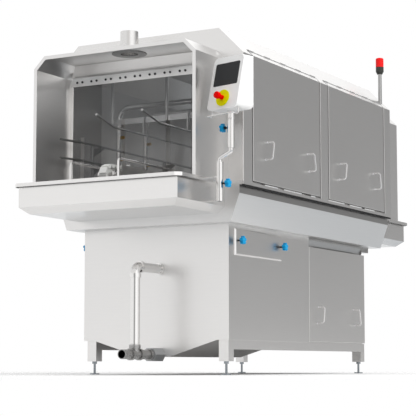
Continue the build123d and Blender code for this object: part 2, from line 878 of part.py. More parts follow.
with BuildPart() as levelling_feet:
    with GridLocations(2 * leg_x, 2 * leg_y, 2, 2):
        Cylinder(foot_plate_radius, foot_plate_height, align=(Align.CENTER, Align.CENTER, Align.MIN))
    with BuildSketch(Plane.XY.offset(foot_plate_height)):
        with GridLocations(2 * leg_x, 2 * leg_y, 2, 2):
            Circle(foot_spindle_radius)
    extrude(amount=leg_foot - foot_plate_height)
    with BuildSketch(Plane.XY.offset(leg_foot)):
        with GridLocations(2 * leg_x, 2 * leg_y, 2, 2):
            RegularPolygon(foot_nut_flats / 2, 6, major_radius=False)
    extrude(amount=-foot_nut_height)
levelling_feet.part.label = "levelling_feet"
export_step(levelling_feet.part, "parts/levelling_feet.step")

# Service panel: a folded flap hung under the header channel

panel_length = cabinet_rear - panel_front

with BuildPart() as service_panel:
    with BuildSketch(section(cabinet_rear)):
        with Locations((tank_half_width, panel_top)):
            Rectangle(sheet, panel_top - panel_foot, align=Align.MAX)
        with Locations((tank_half_width, panel_foot)):
            Rectangle(panel_return, sheet, align=(Align.MAX, Align.MIN))
    extrude(amount=panel_length)
    # Folds of both ends, which stop short of the hinge
    for station in (cabinet_rear, panel_front + sheet):
        with BuildSketch(section(station)):
            with Locations((tank_half_width, panel_foot)):
                Rectangle(
                    panel_return, panel_hinge_z - panel_return - panel_foot, align=(Align.MAX, Align.MIN)
                )
        extrude(amount=sheet)
    skin = service_panel.faces().filter_by(Axis.X).sort_by(Axis.X)[-1]
    foot_edge = skin.edges().filter_by(Axis.Y).sort_by(Axis.Z)[0]
    fillet(skin.edges().filter_by(Axis.Z) + [foot_edge], radius=fold_radius)
    for station in (panel_front + panel_knuckle_inset + knuckle_length, cabinet_rear - panel_knuckle_inset):
        with BuildSketch(section(station)):
            with Locations((panel_hinge_x, panel_hinge_z)):
                Circle(knuckle_radius)
                Rectangle(
                    panel_hinge_back - sheet / 2, knuckle_radius, align=(Align.MIN, Align.MIN)
                )
                Circle(bore_radius, mode=Mode.SUBTRACT)
        extrude(amount=knuckle_length)
service_panel.part.label = "service_panel"
export_step(service_panel.part, "parts/service_panel.step")

with BuildPart() as hinge_rods:
    for middle in door_middles:
        with BuildSketch(section(middle + door_length / 2)):
            with Locations((hinge_x, hinge_z)):
                Circle(hinge_rod_radius)
        extrude(amount=door_length)
    # Rod of the service panel from lug to lug
    with BuildSketch(section(lug_stations[1])):
        with Locations((panel_hinge_x, panel_hinge_z)):
            Circle(hinge_rod_radius)
    extrude(amount=lug_stations[1] - lug_stations[0] + lug_width)
hinge_rods.part.label = "hinge_rods"
export_step(hinge_rods.part, "parts/hinge_rods.step")

with BuildPart() as service_panel_bows:
    for station, lean in (
        (panel_front + panel_bow_inset_front, bow_tilt), (cabinet_rear - panel_bow_inset_rear, -bow_tilt),
    ):
        corners = bow_points(tank_half_width, station, panel_bow_height, lean)
        with BuildLine() as bow_path:
            FilletPolyline(*corners, radius=bow_bend)
        with BuildSketch(Plane(origin=corners[0], z_dir=(1, 0, 0))):
            Circle(bow_radius)
        sweep(path=bow_path.wires()[0])
service_panel_bows.part.label = "service_panel_bows"
export_step(service_panel_bows.part, "parts/service_panel_bows.step")

# Filter drawers: folded cover with a basket behind it

knob_stations = (filter_front + filter_knob_inset, filter_front + filter_length - filter_knob_inset)
cover_face = tank_half_width + filter_proud
filter_stud_end = stud_tip_gap - filter_proud

with BuildPart() as right_filter_drawer:
    with BuildSketch(Plane.YZ.offset(tank_half_width)):
        with Locations((filter_middle, opening_z)):
            Rectangle(filter_length, filter_height)
    extrude(amount=filter_proud)
    chamfer(right_filter_drawer.faces().sort_by(Axis.X)[-1].edges(), length=filter_bevel)
    with BuildSketch(Plane.YZ.offset(tank_half_width)):
        with Locations((filter_middle, opening_z)):
            Rectangle(filter_length - 2 * filter_rim, filter_height - 2 * filter_rim)
    extrude(amount=filter_proud - sheet, mode=Mode.SUBTRACT)
    # Basket through the wall opening
    with BuildSketch(Plane.XY.offset(filter_foot + filter_margin_edges + basket_gap)):
        with Locations((cover_face - sheet, filter_middle)):
            Rectangle(basket_depth, opening_length - 2 * basket_gap, align=(Align.MAX, Align.CENTER))
    extrude(amount=basket_height)
    with BuildSketch(Plane.XY.offset(filter_foot + filter_margin_edges + basket_gap + sheet)):
        with Locations((cover_face - sheet, filter_middle)):
            Rectangle(
                basket_depth - sheet, opening_length - 2 * basket_gap - 2 * sheet,
                align=(Align.MAX, Align.CENTER),
            )
    extrude(amount=basket_height, mode=Mode.SUBTRACT)
    # Holes for the knob studs
    with BuildSketch(Plane.YZ.offset(cover_face)):
        with Locations(*[(station, filter_knob_height) for station in knob_stations]):
            Circle(stud_radius + running_fit)
    extrude(amount=-sheet, mode=Mode.SUBTRACT)
right_filter_drawer.part.label = "right_filter_drawer"
export_step(right_filter_drawer.part, "parts/right_filter_drawer.step")

with BuildPart() as left_filter_drawer:
    mirror(right_filter_drawer.part, about=Plane.YZ)
left_filter_drawer.part.label = "left_filter_drawer"
export_step(left_filter_drawer.part, "parts/left_filter_drawer.step")


def star_knob(origin, stud_end, reach):
    """Star knob on a stud along +X: stud_end is behind the origin's face, reach is to the star's middle."""
    base = Plane(origin=origin, x_dir=(0, 1, 0), z_dir=(1, 0, 0))
    with BuildPart() as knob:
        with BuildSketch(base.offset(stud_end)):
            Circle(stud_radius)
        extrude(amount=reach - stud_end)
        with BuildSketch(base.offset(reach - knob_thickness)):
            Circle(knob_neck_radius)
        extrude(amount=knob_thickness / 2)
        with BuildSketch(base.offset(reach - knob_thickness / 2)):
            Circle(knob_core_radius)
            with PolarLocations(knob_lobe_circle, knob_lobes, start_angle=90):
                Circle(knob_lobe_radius)
        extrude(amount=knob_thickness)
        chamfer(knob.faces().sort_by(Axis.X)[-1].outer_wire().edges(), length=knob_bevel)
    return knob.part


with BuildPart() as right_front_filter_knob:
    place = (cover_face, knob_stations[0], filter_knob_height)
    add(star_knob(place, filter_stud_end, filter_knob_reach))
right_front_filter_knob.part.label = "right_front_filter_knob"
export_step(right_front_filter_knob.part, "parts/right_front_filter_knob.step")

with BuildPart() as right_rear_filter_knob:
    place = (cover_face, knob_stations[1], filter_knob_height)
    add(star_knob(place, filter_stud_end, filter_knob_reach))
right_rear_filter_knob.part.label = "right_rear_filter_knob"
export_step(right_rear_filter_knob.part, "parts/right_rear_filter_knob.step")

with BuildPart() as left_front_filter_knob:
    mirror(right_front_filter_knob.part, about=Plane.YZ)
left_front_filter_knob.part.label = "left_front_filter_knob"
export_step(left_front_filter_knob.part, "parts/left_front_filter_knob.step")

with BuildPart() as left_rear_filter_knob:
    mirror(right_rear_filter_knob.part, about=Plane.YZ)
left_rear_filter_knob.part.label = "left_rear_filter_knob"
export_step(left_rear_filter_knob.part, "parts/left_rear_filter_knob.step")

# Control post: socket on the tray, crank, sleeve under the control box

with BuildPart() as post_socket:
    with BuildSketch(Plane.XY.offset(socket_foot)):
        with Locations((socket_x, post_y)):
            Circle(socket_radius)
    extrude(amount=socket_top - socket_foot)
    # Tabs to the tray's turned lip and to its side
    for reach, foot in ((lip_half_width, rim_z - plate), (tray_half_width, socket_foot)):
        with BuildSketch(Plane.XY.offset(foot)):
            with Locations((reach, post_y)):
                Rectangle(socket_x - reach, socket_tab_width, align=(Align.MIN, Align.CENTER))
        extrude(amount=plate)
    with BuildSketch(Plane.XY.offset(socket_foot)):
        with Locations((socket_x, post_y)):
            Circle(crank_radius + running_fit)
    extrude(amount=socket_top - socket_foot, mode=Mode.SUBTRACT)
    with BuildSketch(Plane.YZ.offset(socket_x)):
        with Locations((post_y, post_knob_z)):
            Circle(stud_radius + running_fit)
    extrude(amount=socket_radius, mode=Mode.SUBTRACT)
post_socket.part.label = "post_socket"
export_step(post_socket.part, "parts/post_socket.step")

with BuildPart() as crank:
    with BuildLine() as crank_path:
        FilletPolyline(
            (socket_x, post_y, crank_foot), (socket_x, post_y, crank_low_corner),
            (head_x, post_y, crank_high_corner), (head_x, post_y, crank_top),
            radius=crank_bend,
        )
    with BuildSketch(Plane.XY.offset(crank_foot)):
        with Locations((socket_x, post_y)):
            Circle(crank_radius)
    sweep(path=crank_path.wires()[0])
crank.part.label = "crank"
export_step(crank.part, "parts/crank.step")

with BuildPart() as post_knob:
    add(star_knob((socket_x, post_y, post_knob_z), crank_radius + stud_tip_gap, post_knob_reach))
post_knob.part.label = "post_knob"
export_step(post_knob.part, "parts/post_knob.step")

with BuildPart() as head_knob:
    knob_right = star_knob((head_x, post_y, head_knob_z), crank_radius + stud_tip_gap, post_knob_reach)
    mirror(knob_right, about=Plane.YZ.offset(head_x))
head_knob.part.label = "head_knob"
export_step(head_knob.part, "parts/head_knob.step")

# Control box: sloped face towards the operator, in its own directions around the post

box_front = -box_depth / 2
box_back = box_depth / 2
box_top = box_foot + box_height
face_top = box_back - box_top_depth
head_level = Plane(origin=(head_x, post_y, 0)).rotated((0, 0, -head_turn))
head_side = Plane(origin=head_level.origin, x_dir=head_level.y_dir, z_dir=head_level.x_dir)
head_across = Axis(head_level.origin, head_level.x_dir)
head_along = Axis(head_level.origin, head_level.y_dir)
face_plane = Plane(
    origin=head_level.from_local_coords((0, box_front, box_foot)), x_dir=head_level.x_dir,
    z_dir=head_level.z_dir * (face_top - box_front) - head_level.y_dir * box_height,
)

with BuildPart() as control_box:
    with BuildSketch(head_side):
        with BuildLine():
            Polyline(
                (box_front, box_foot), (face_top, box_top), (box_back, box_top), (box_back, box_foot),
                close=True,
            )
        make_face()
    extrude(amount=box_width / 2, both=True)
    back_edge = control_box.edges().filter_by(head_across).group_by(Axis.Z)[0].sort_by(head_along)[-1]
    fillet(back_edge, radius=box_back_edge)
    fillet(
        control_box.edges().filter_by(head_along).group_by(Axis.Z)[0]
        + control_box.edges().filter_by(head_along).group_by(Axis.Z)[-1],
        radius=box_corner,
    )
    with BuildSketch(face_plane):
        with Locations((0, screen_up)):
            RectangleRounded(
                screen_width + 2 * stop_play, screen_height + 2 * stop_play, screen_corner + stop_play
            )
    extrude(amount=-screen_sunk, mode=Mode.SUBTRACT)
    with BuildSketch(face_plane):
        with Locations((0, stop_up)):
            Circle(stop_neck_radius + stop_play)
    extrude(amount=-stop_well, mode=Mode.SUBTRACT)
control_box.part.label = "control_box"
export_step(control_box.part, "parts/control_box.step")

with BuildPart() as screen:
    with BuildSketch(face_plane.offset(-screen_sunk)):
        with Locations((0, screen_up)):
            RectangleRounded(screen_width, screen_height, screen_corner)
    extrude(amount=screen_thickness)
screen.part.label = "screen"
export_step(screen.part, "parts/screen.step")

with BuildPart() as stop_collar:
    with BuildSketch(face_plane):
        with Locations((0, stop_up)):
            Circle(stop_collar_radius)
            Circle(stop_neck_radius + stop_play, mode=Mode.SUBTRACT)
    extrude(amount=stop_collar_height)
stop_collar.part.label = "stop_collar"
export_step(stop_collar.part, "parts/stop_collar.step")

with BuildPart() as stop_button:
    with BuildSketch(face_plane.offset(stop_travel + stop_play - stop_well)):
        with Locations((0, stop_up)):
            Circle(stop_neck_radius)
    extrude(amount=stop_well - stop_travel - stop_play + stop_height - stop_head_height)
    with BuildSketch(face_plane.offset(stop_height - stop_head_height)):
        with Locations((0, stop_up)):
            Circle(stop_radius)
    extrude(amount=stop_head_height)
    fillet(stop_button.faces().sort_by(head_along)[0].edges(), radius=stop_crown)
stop_button.part.label = "stop_button"
export_step(stop_button.part, "parts/stop_button.step")

with BuildPart() as head_sleeve:
    with BuildSketch(Plane.XY.offset(sleeve_foot)):
        with Locations((head_x, post_y)):
            Circle(sleeve_radius)
            Circle(crank_radius + running_fit, mode=Mode.SUBTRACT)
    extrude(amount=box_foot - sleeve_foot)
    with BuildSketch(Plane.YZ.offset(head_x)):
        with Locations((post_y, head_knob_z)):
            Circle(stud_radius + running_fit)
    extrude(amount=-sleeve_radius, mode=Mode.SUBTRACT)
    # Thin bow rod in front of the sleeve
    left = bow_rod_inset - box_width / 2
    right = box_width / 2 - bow_rod_inset
    back = box_front + bow_rod_back
    front = box_front - bow_rod_front
    low = box_foot - bow_rod_drop
    with BuildLine(head_level) as bow_path:
        FilletPolyline(
            (left, back, box_foot), (left, back, low), (left, front, low), (right, front, low),
            (right, back, low), (right, back, box_foot),
            radius=bow_rod_bend,
        )
    with BuildSketch(head_level.offset(box_foot)):
        with Locations((left, back)):
            Circle(bow_rod_radius)
    sweep(path=bow_path.wires()[0])
head_sleeve.part.label = "head_sleeve"
export_step(head_sleeve.part, "parts/head_sleeve.step")

# Beacon on the roof slope

with BuildPart() as beacon_pole:
    with BuildSketch(Plane.XY.offset(shoulder_z)):
        with Locations((beacon_x, beacon_y)):
            Circle(beacon_pole_radius)
    extrude(amount=beacon_pole_top - shoulder_z)
    split(bisect_by=Plane(origin=(tunnel_half_width, 0, shoulder_z), z_dir=(1, 0, 1)), keep=Keep.TOP)
beacon_pole.part.label = "beacon_pole"
export_step(beacon_pole.part, "parts/beacon_pole.step")

with BuildPart() as beacon_base:
    with BuildSketch(Plane.XY.offset(beacon_pole_top)):
        with Locations((beacon_x, beacon_y)):
            Circle(beacon_radius)
    extrude(amount=beacon_base_height)
    chamfer(beacon_base.faces().sort_by(Axis.Z)[0].edges(), length=2 * beacon_taper, length2=beacon_taper)
beacon_base.part.label = "beacon_base"
export_step(beacon_base.part, "parts/beacon_base.step")

with BuildPart() as beacon_lens:
    with BuildSketch(Plane.XY.offset(beacon_pole_top + beacon_base_height)):
        with Locations((beacon_x, beacon_y)):
            Circle(beacon_radius)
    extrude(amount=beacon_lens_height)
    fillet(beacon_lens.faces().sort_by(Axis.Z)[-1].edges(), radius=beacon_dome)
beacon_lens.part.label = "beacon_lens"
export_step(beacon_lens.part, "parts/beacon_lens.step")

# Crate run: rails on cross bars, side guides, hold-down rods

with BuildPart() as crate_rails:
    corners = [
        (crate_rail_x, -crate_rail_end, rim_z), (crate_rail_x, -crate_rail_end, crate_rail_z),
        (crate_rail_x, crate_rail_end, crate_rail_z), (crate_rail_x, crate_rail_end, rim_z),
    ]
    with BuildLine() as rail_path:
        FilletPolyline(*corners, radius=crate_rail_bend)
    with BuildSketch(Plane(origin=corners[0])):
        Circle(crate_rail_radius)
    sweep(path=rail_path.wires()[0])
    mirror(about=Plane.YZ)
crate_rails.part.label = "crate_rails"
export_step(crate_rails.part, "parts/crate_rails.step")

with BuildPart() as run_bars:
    for station in (-bar_y, 0, bar_y):
        low = skirt_inside(bar_top - bar_height)
        high = skirt_inside(bar_top)
        with BuildSketch(section(station + bar_width / 2)):
            with BuildLine():
                Polyline(
                    (-low, bar_top - bar_height), (low, bar_top - bar_height),
                    (high, bar_top), (-high, bar_top),
                    close=True,
                )
            make_face()
        extrude(amount=bar_width)
    # Stands under the rails, hollowed to seat them
    with BuildSketch(Plane.XY.offset(bar_top)):
        with GridLocations(2 * crate_rail_x, bar_y, 2, 3):
            Circle(stand_radius)
    extrude(amount=crate_rail_z - bar_top)
    with BuildSketch(Plane.XZ):
        with Locations((-crate_rail_x, crate_rail_z), (crate_rail_x, crate_rail_z)):
            Circle(crate_rail_radius + running_fit)
    extrude(amount=tunnel_half_length, both=True, mode=Mode.SUBTRACT)
run_bars.part.label = "run_bars"
export_step(run_bars.part, "parts/run_bars.step")

with BuildPart() as crate_guides:
    for height in (guide_low, guide_high):
        with BuildLine() as guide_path:
            FilletPolyline(
                (guide_flare_x, guide_flare_y, height), (guide_x, guide_straight_y, height),
                (guide_x, run_end_y, height),
                radius=guide_bend,
            )
        mouth = Plane(origin=guide_path.line @ 0, z_dir=guide_path.line % 0)
        with BuildSketch(mouth):
            Circle(guide_radius)
        sweep(path=guide_path.wires()[0])
        with BuildSketch(mouth):
            Circle(guide_radius - guide_wall)
        extrude(amount=guide_mouth, mode=Mode.SUBTRACT)
        # Triangular gussets from the posts
        for station in (-bar_y, 0, bar_y):
            with BuildSketch(section(station + plate / 2)):
                with BuildLine():
                    Polyline(
                        (guide_post_x, height), (guide_x, height + guide_radius / 2),
                        (guide_x, height - guide_radius / 2), (guide_post_x, height - guide_gusset),
                        close=True,
                    )
                make_face()
            extrude(amount=plate)
    with BuildSketch(Plane.XY.offset(bar_top)):
        with Locations((guide_post_x, -bar_y), (guide_post_x, 0), (guide_post_x, bar_y)):
            Circle(guide_post_radius)
    extrude(amount=guide_post_top - bar_top)
    mirror(about=Plane.YZ)
crate_guides.part.label = "crate_guides"
export_step(crate_guides.part, "parts/crate_guides.step")

with BuildPart() as hold_down:
    with BuildLine() as hold_path:
        FilletPolyline(
            (hold_x, hold_tip_y, hold_z + hold_rise), (hold_x, hold_bend_y, hold_z),
            (hold_x, run_end_y, hold_z),
            radius=hold_bend,
        )
    with BuildSketch(Plane(origin=hold_path.line @ 0, z_dir=hold_path.line % 0)):
        Circle(hold_radius)
    sweep(path=hold_path.wires()[0])
    with Locations((hold_x, hold_tip_y, hold_z + hold_rise)):
        Sphere(hold_ball_radius)
    # Struts up to the beams and posts up to the roof
    for station in (-bar_y, bar_y):
        with BuildSketch(Plane.YZ.offset(hold_x - plate / 2)):
            with Locations((station, hold_z)):
                Rectangle(strut_width, beam_foot + beam_height - hold_z, align=(Align.CENTER, Align.MIN))
        extrude(amount=plate)
        with BuildSketch(section(station + plate / 2)):
            with Locations((0, beam_foot)):
                Rectangle(beam_post_x, beam_height, align=Align.MIN)
        extrude(amount=plate)
        with BuildSketch(Plane.XY.offset(beam_foot)):
            with Locations((0, station), (beam_post_x, station)):
                Circle(beam_post_radius)
        extrude(amount=tunnel_top - sheet - beam_foot)
        with Locations((0, station, tunnel_top - sheet), (beam_post_x, station, tunnel_top - sheet)):
            Cone(
                beam_post_radius, beam_post_flare, beam_post_flare,
                align=(Align.CENTER, Align.CENTER, Align.MAX),
            )
    mirror(about=Plane.YZ)
hold_down.part.label = "hold_down"
export_step(hold_down.part, "parts/hold_down.step")

# Chain conveyor

run_top = sprocket_z + pitch_radius
link_half = pitch / 2 - link_gap / 2
lean = math.tan(math.pi / teeth)
tongue_top = pitch / 2 - tooth_width / 2 - tooth_room - plate_under * lean
tongue_foot = pitch / 2 - tooth_width / 2 - tooth_room - link_half_height * lean
link_profile = [
    (link_half_height, link_half), (-plate_under, link_half), (-plate_under, tongue_top),
    (-link_half_height, tongue_foot), (-link_half_height, -tongue_foot), (-plate_under, -tongue_top),
    (-plate_under, -link_half), (link_half_height, -link_half),
]

with BuildPart() as conveyor_chain:
    # Link profile: +x of the profile points out of the loop
    with BuildSketch(Plane.YZ.offset(-link_width / 2)):
        for side in (1, -1):
            with Locations((0, sprocket_z + side * pitch_radius)):
                with GridLocations(pitch, pitch, run_links, 1):
                    Polygon(*link_profile, rotation=90 * side, align=None)
            with Locations((side * sprocket_y, sprocket_z)):
                first_link = 180 / teeth - 90 * side
                with PolarLocations(pitch_apothem, teeth // 2, start_angle=first_link, angular_range=180):
                    Polygon(*link_profile, align=None)
    extrude(amount=link_width)
    # Dogs that push the crates, on every so many links of both runs
    with BuildSketch(Plane.YZ.offset(-link_width / 4)):
        for side in (1, -1):
            with Locations((0, sprocket_z + side * (pitch_radius + link_half_height + dog_height / 2))):
                with GridLocations(pitch * dog_spacing, pitch, run_links // dog_spacing, 1):
                    Rectangle(dog_length, dog_height)
    extrude(amount=link_width / 2)
conveyor_chain.part.label = "conveyor_chain"
export_step(conveyor_chain.part, "parts/conveyor_chain.step")

hub_radius = pitch_apothem - link_half_height - hub_room
tooth_tip = pitch_radius - tooth_top_room

with BuildPart() as idler_sprocket:
    with BuildSketch(Plane.YZ.offset(-sprocket_width / 2)):
        with Locations((-sprocket_y, sprocket_z)):
            Circle(hub_radius)
            with PolarLocations(0, teeth):
                Rectangle(tooth_tip, tooth_width, align=(Align.MIN, Align.CENTER))
            Circle(shaft_radius + running_fit, mode=Mode.SUBTRACT)
    extrude(amount=sprocket_width)
idler_sprocket.part.label = "idler_sprocket"
export_step(idler_sprocket.part, "parts/idler_sprocket.step")

with BuildPart() as drive_sprocket:
    mirror(idler_sprocket.part, about=Plane.XZ)
drive_sprocket.part.label = "drive_sprocket"
export_step(drive_sprocket.part, "parts/drive_sprocket.step")

shaft_half = trough_half_width + bearing_width + shaft_end
gearbox_face = lip_half_width + gearbox_gap

with BuildPart() as idler_shaft:
    with BuildSketch(Plane.YZ.offset(-shaft_half)):
        with Locations((-sprocket_y, sprocket_z)):
            Circle(shaft_radius)
    extrude(amount=2 * shaft_half)
idler_shaft.part.label = "idler_shaft"
export_step(idler_shaft.part, "parts/idler_shaft.step")

with BuildPart() as drive_shaft:
    with BuildSketch(Plane.YZ.offset(shaft_half)):
        with Locations((sprocket_y, sprocket_z)):
            Circle(shaft_radius)
    extrude(amount=-shaft_half - gearbox_face - gearbox_width / 2)
drive_shaft.part.label = "drive_shaft"
export_step(drive_shaft.part, "parts/drive_shaft.step")

web_top = run_top - link_half_height - hub_room
trough_end = sprocket_y - pitch_radius - link_half_height - trough_end_room

with BuildPart() as chain_trough:
    with BuildSketch(Plane.XZ):
        with Locations((0, web_top)):
            Rectangle(2 * trough_half_width, sheet, align=(Align.CENTER, Align.MAX))
        with Locations((trough_half_width, trough_top)):
            Rectangle(sheet, trough_skirt, align=Align.MAX)
        with Locations((-trough_half_width, trough_top)):
            Rectangle(sheet, trough_skirt, align=(Align.MIN, Align.MAX))
    extrude(amount=trough_end, both=True)
    # Legs on the cross bars, fork arms and bearing bosses for both shafts
    with BuildSketch(Plane.YZ.offset(trough_half_width)):
        for station in (-bar_y, 0, bar_y):
            with Locations((station, bar_top)):
                Rectangle(trough_leg, trough_top - trough_skirt - bar_top, align=(Align.CENTER, Align.MIN))
        for side in (-1, 1):
            with Locations((side * (trough_end - fork_overlap + sprocket_y + fork_reach) / 2, sprocket_z)):
                Rectangle(sprocket_y + fork_reach - trough_end + fork_overlap, 2 * fork_half_height)
    extrude(amount=-sheet)
    with BuildSketch(Plane.YZ.offset(trough_half_width)):
        with Locations((-sprocket_y, sprocket_z), (sprocket_y, sprocket_z)):
            Circle(bearing_radius)
    extrude(amount=bearing_width)
    mirror(about=Plane.YZ)
    with BuildSketch(Plane.YZ):
        with Locations((-sprocket_y, sprocket_z), (sprocket_y, sprocket_z)):
            Circle(shaft_radius + running_fit)
    extrude(amount=shaft_half, both=True, mode=Mode.SUBTRACT)
chain_trough.part.label = "chain_trough"
export_step(chain_trough.part, "parts/chain_trough.step")

with BuildPart() as gearmotor:
    # Worm gearbox outside the outfeed tray with its motor hanging below
    with BuildSketch(Plane.YZ.offset(-gearbox_face)):
        with Locations((sprocket_y, sprocket_z)):
            RectangleRounded(gearbox_length, gearbox_height, motor_radius / 2)
    extrude(amount=-gearbox_width)
    with BuildSketch(Plane.XY.offset(sprocket_z)):
        with Locations((-gearbox_face - gearbox_width / 2, sprocket_y)):
            Circle(motor_radius)
    extrude(amount=-gearbox_height / 2 - motor_length)
    with BuildSketch(Plane.YZ.offset(-lip_half_width)):
        with Locations((sprocket_y, rim_z - lip_drop / 2)):
            Rectangle(gearbox_length / 2, lip_drop)
    extrude(amount=-gearbox_gap)
    with BuildSketch(Plane.YZ.offset(-gearbox_face)):
        with Locations((sprocket_y, sprocket_z)):
            Circle(shaft_radius + running_fit)
    extrude(amount=-gearbox_width, mode=Mode.SUBTRACT)
gearmotor.part.label = "gearmotor"
export_step(gearmotor.part, "parts/gearmotor.step")

# Strip curtains on folded rails

with BuildPart() as curtain_rails:
    # Both rails stand on the infeed side of their strips, so the strips swing with the crates
    clamp_foot = strip_top + clamp_gap
    for station, wall_face in ((-curtain_y, -tunnel_half_length), (curtain_y, tunnel_half_length)):
        strip_back = station + strip_thickness / 2
        rail_back = station - strip_thickness / 2 - curtain_rail_gap
        rail_front = rail_back - sheet
        with BuildSketch(Plane.YZ.offset(-curtain_rail_half_length)):
            with BuildLine():
                Polyline(
                    (rail_front, curtain_rail_foot), (rail_back, curtain_rail_foot),
                    (rail_back, clamp_foot), (strip_back, clamp_foot),
                    (strip_back, passage_top + sheet), (rail_front, passage_top + sheet),
                    close=True,
                )
            make_face()
            # Flange to the tunnel wall
            with BuildLine():
                Polyline(
                    (station, passage_top), (wall_face, passage_top), (wall_face, passage_top + sheet),
                    (station, passage_top + sheet),
                    close=True,
                )
            make_face()
        extrude(amount=2 * curtain_rail_half_length)
curtain_rails.part.label = "curtain_rails"
export_step(curtain_rails.part, "parts/curtain_rails.step")


def strip_row(stations, y):
    """Sketch of hanging strips at station y; those over the crate rails are shorter."""
    with BuildSketch(section(y + strip_thickness / 2)) as row:
        for x in stations:
            foot = strip_foot_middle if abs(x) < crate_rail_x + strip_width / 2 else strip_foot
            with Locations((x, strip_top)):
                Rectangle(strip_width, strip_top - foot, align=(Align.CENTER, Align.MAX))
    return row.sketch


strip_x = [(i - (strips - 1) / 2) * strip_pitch for i in range(strips)]
centre_reach = strips_centre * strip_pitch / 2

with BuildPart() as infeed_curtain_centre:
    extrude(strip_row([x for x in strip_x if abs(x) < centre_reach], -curtain_y), amount=strip_thickness)
    with BuildSketch(section(-curtain_y + strip_thickness)):
        with Locations((-hold_x, hold_slot_top), (hold_x, hold_slot_top)):
            Rectangle(2 * hold_slot_half, hold_slot_top - strip_foot, align=(Align.CENTER, Align.MAX))
    extrude(amount=2 * strip_thickness, mode=Mode.SUBTRACT)
infeed_curtain_centre.part.label = "infeed_curtain_centre"
export_step(infeed_curtain_centre.part, "parts/infeed_curtain_centre.step")

with BuildPart() as infeed_curtain_sides:
    extrude(strip_row([x for x in strip_x if abs(x) > centre_reach], -curtain_y), amount=strip_thickness)
    with BuildSketch(section(-curtain_y + strip_thickness)):
        with Locations((-guide_x, guide_slot_top), (guide_x, guide_slot_top)):
            Rectangle(2 * guide_slot_half, guide_slot_top - strip_foot, align=(Align.CENTER, Align.MAX))
    extrude(amount=2 * strip_thickness, mode=Mode.SUBTRACT)
infeed_curtain_sides.part.label = "infeed_curtain_sides"
export_step(infeed_curtain_sides.part, "parts/infeed_curtain_sides.step")

with BuildPart() as outfeed_curtain:
    extrude(strip_row(strip_x, curtain_y), amount=strip_thickness)
outfeed_curtain.part.label = "outfeed_curtain"
export_step(outfeed_curtain.part, "parts/outfeed_curtain.step")

# Wash pump, riser and spray arches

header_z = bar_top + header_radius
outlet_top = pump_z + volute_radius + pump_neck

with BuildPart() as wash_pump:
    with BuildSketch(section(riser_y + volute_width / 2)):
        with Locations((riser_x, pump_z)):
            Circle(volute_radius)
    extrude(amount=volute_width)
    with BuildSketch(section(riser_y + volute_width / 2)):
        with Locations((riser_x, pump_z)):
            Circle(pump_motor_radius)
    extrude(amount=-pump_motor_length)
    with BuildSketch(Plane.XY.offset(tank_foot + sheet)):
        with Locations((riser_x, riser_y - volute_width / 2)):
            Rectangle(2 * pump_base, volute_width + pump_motor_length, align=(Align.CENTER, Align.MIN))
    extrude(amount=pump_z - tank_foot - sheet)
    with BuildSketch(Plane.XY.offset(pump_z)):
        with Locations((riser_x, riser_y)):
            Circle(suction_radius)
    extrude(amount=outlet_top - pump_z)
    with BuildSketch(section(riser_y)):
        with Locations((riser_x, pump_z)):
            Circle(suction_radius)
    extrude(amount=riser_y - tank_back)
wash_pump.part.label = "wash_pump"
export_step(wash_pump.part, "parts/wash_pump.step")

with BuildPart() as spray_pipework:
    for station in arch_stations:
        with BuildLine() as arch_path:
            FilletPolyline(
                (-arch_x, station, header_z), (-arch_x, station, arch_top), (arch_x, station, arch_top),
                (arch_x, station, header_z),
                radius=arch_bend,
            )
        with BuildSketch(Plane.XY.offset(header_z)):
            with Locations((-arch_x, station)):
                Circle(pipe_radius)
        sweep(path=arch_path.wires()[0])
    # Headers along both sides, fed by the riser
    with BuildSketch(section(arch_stations[-1] + header_past)):
        with Locations((-arch_x, header_z), (arch_x, header_z)):
            Circle(header_radius)
    extrude(amount=arch_stations[-1] - arch_stations[0] + 2 * header_past)
    with BuildLine() as riser_path:
        FilletPolyline(
            (riser_x, riser_y, outlet_top), (riser_x, riser_y, header_z), (-arch_x, riser_y, header_z),
            radius=arch_bend,
        )
    with BuildSketch(Plane.XY.offset(outlet_top)):
        with Locations((riser_x, riser_y)):
            Circle(pipe_radius)
    sweep(path=riser_path.wires()[0])
spray_pipework.part.label = "spray_pipework"
export_step(spray_pipework.part, "parts/spray_pipework.step")

with BuildPart() as spray_nozzles:
    # Hexagonal nozzles on the legs and tops of the arches, seated on the pipe
    with BuildSketch(Plane.YZ.offset(arch_x - pipe_radius - nozzle_length)):
        for station in arch_stations:
            with Locations(*[(station, header_z + rise) for rise in nozzle_rise]):
                RegularPolygon(nozzle_flats / 2, 6, major_radius=False)
    extrude(amount=pipe_radius + nozzle_length)
    with BuildSketch(Plane.XY.offset(arch_top)):
        for station in arch_stations:
            with Locations((nozzle_across, station)):
                RegularPolygon(nozzle_flats / 2, 6, major_radius=False)
    extrude(amount=-pipe_radius - nozzle_length)
    mirror(about=Plane.YZ)
    add(spray_pipework.part, mode=Mode.SUBTRACT)
spray_nozzles.part.label = "spray_nozzles"
export_step(spray_nozzles.part, "parts/spray_nozzles.step")

# Overflow and drain on the tank front

elbow_y = tank_front - overflow_reach
outlet_y = tank_front - drain_reach
valve_end = tank_front - valve_length

with BuildPart() as drain_valve:
    with BuildSketch(section(tank_front)):
        with Locations((overflow_x, drain_z)):
            RegularPolygon(valve_flats / 2, 6, major_radius=False)
    extrude(amount=valve_length)
drain_valve.part.label = "drain_valve"
export_step(drain_valve.part, "parts/drain_valve.step")

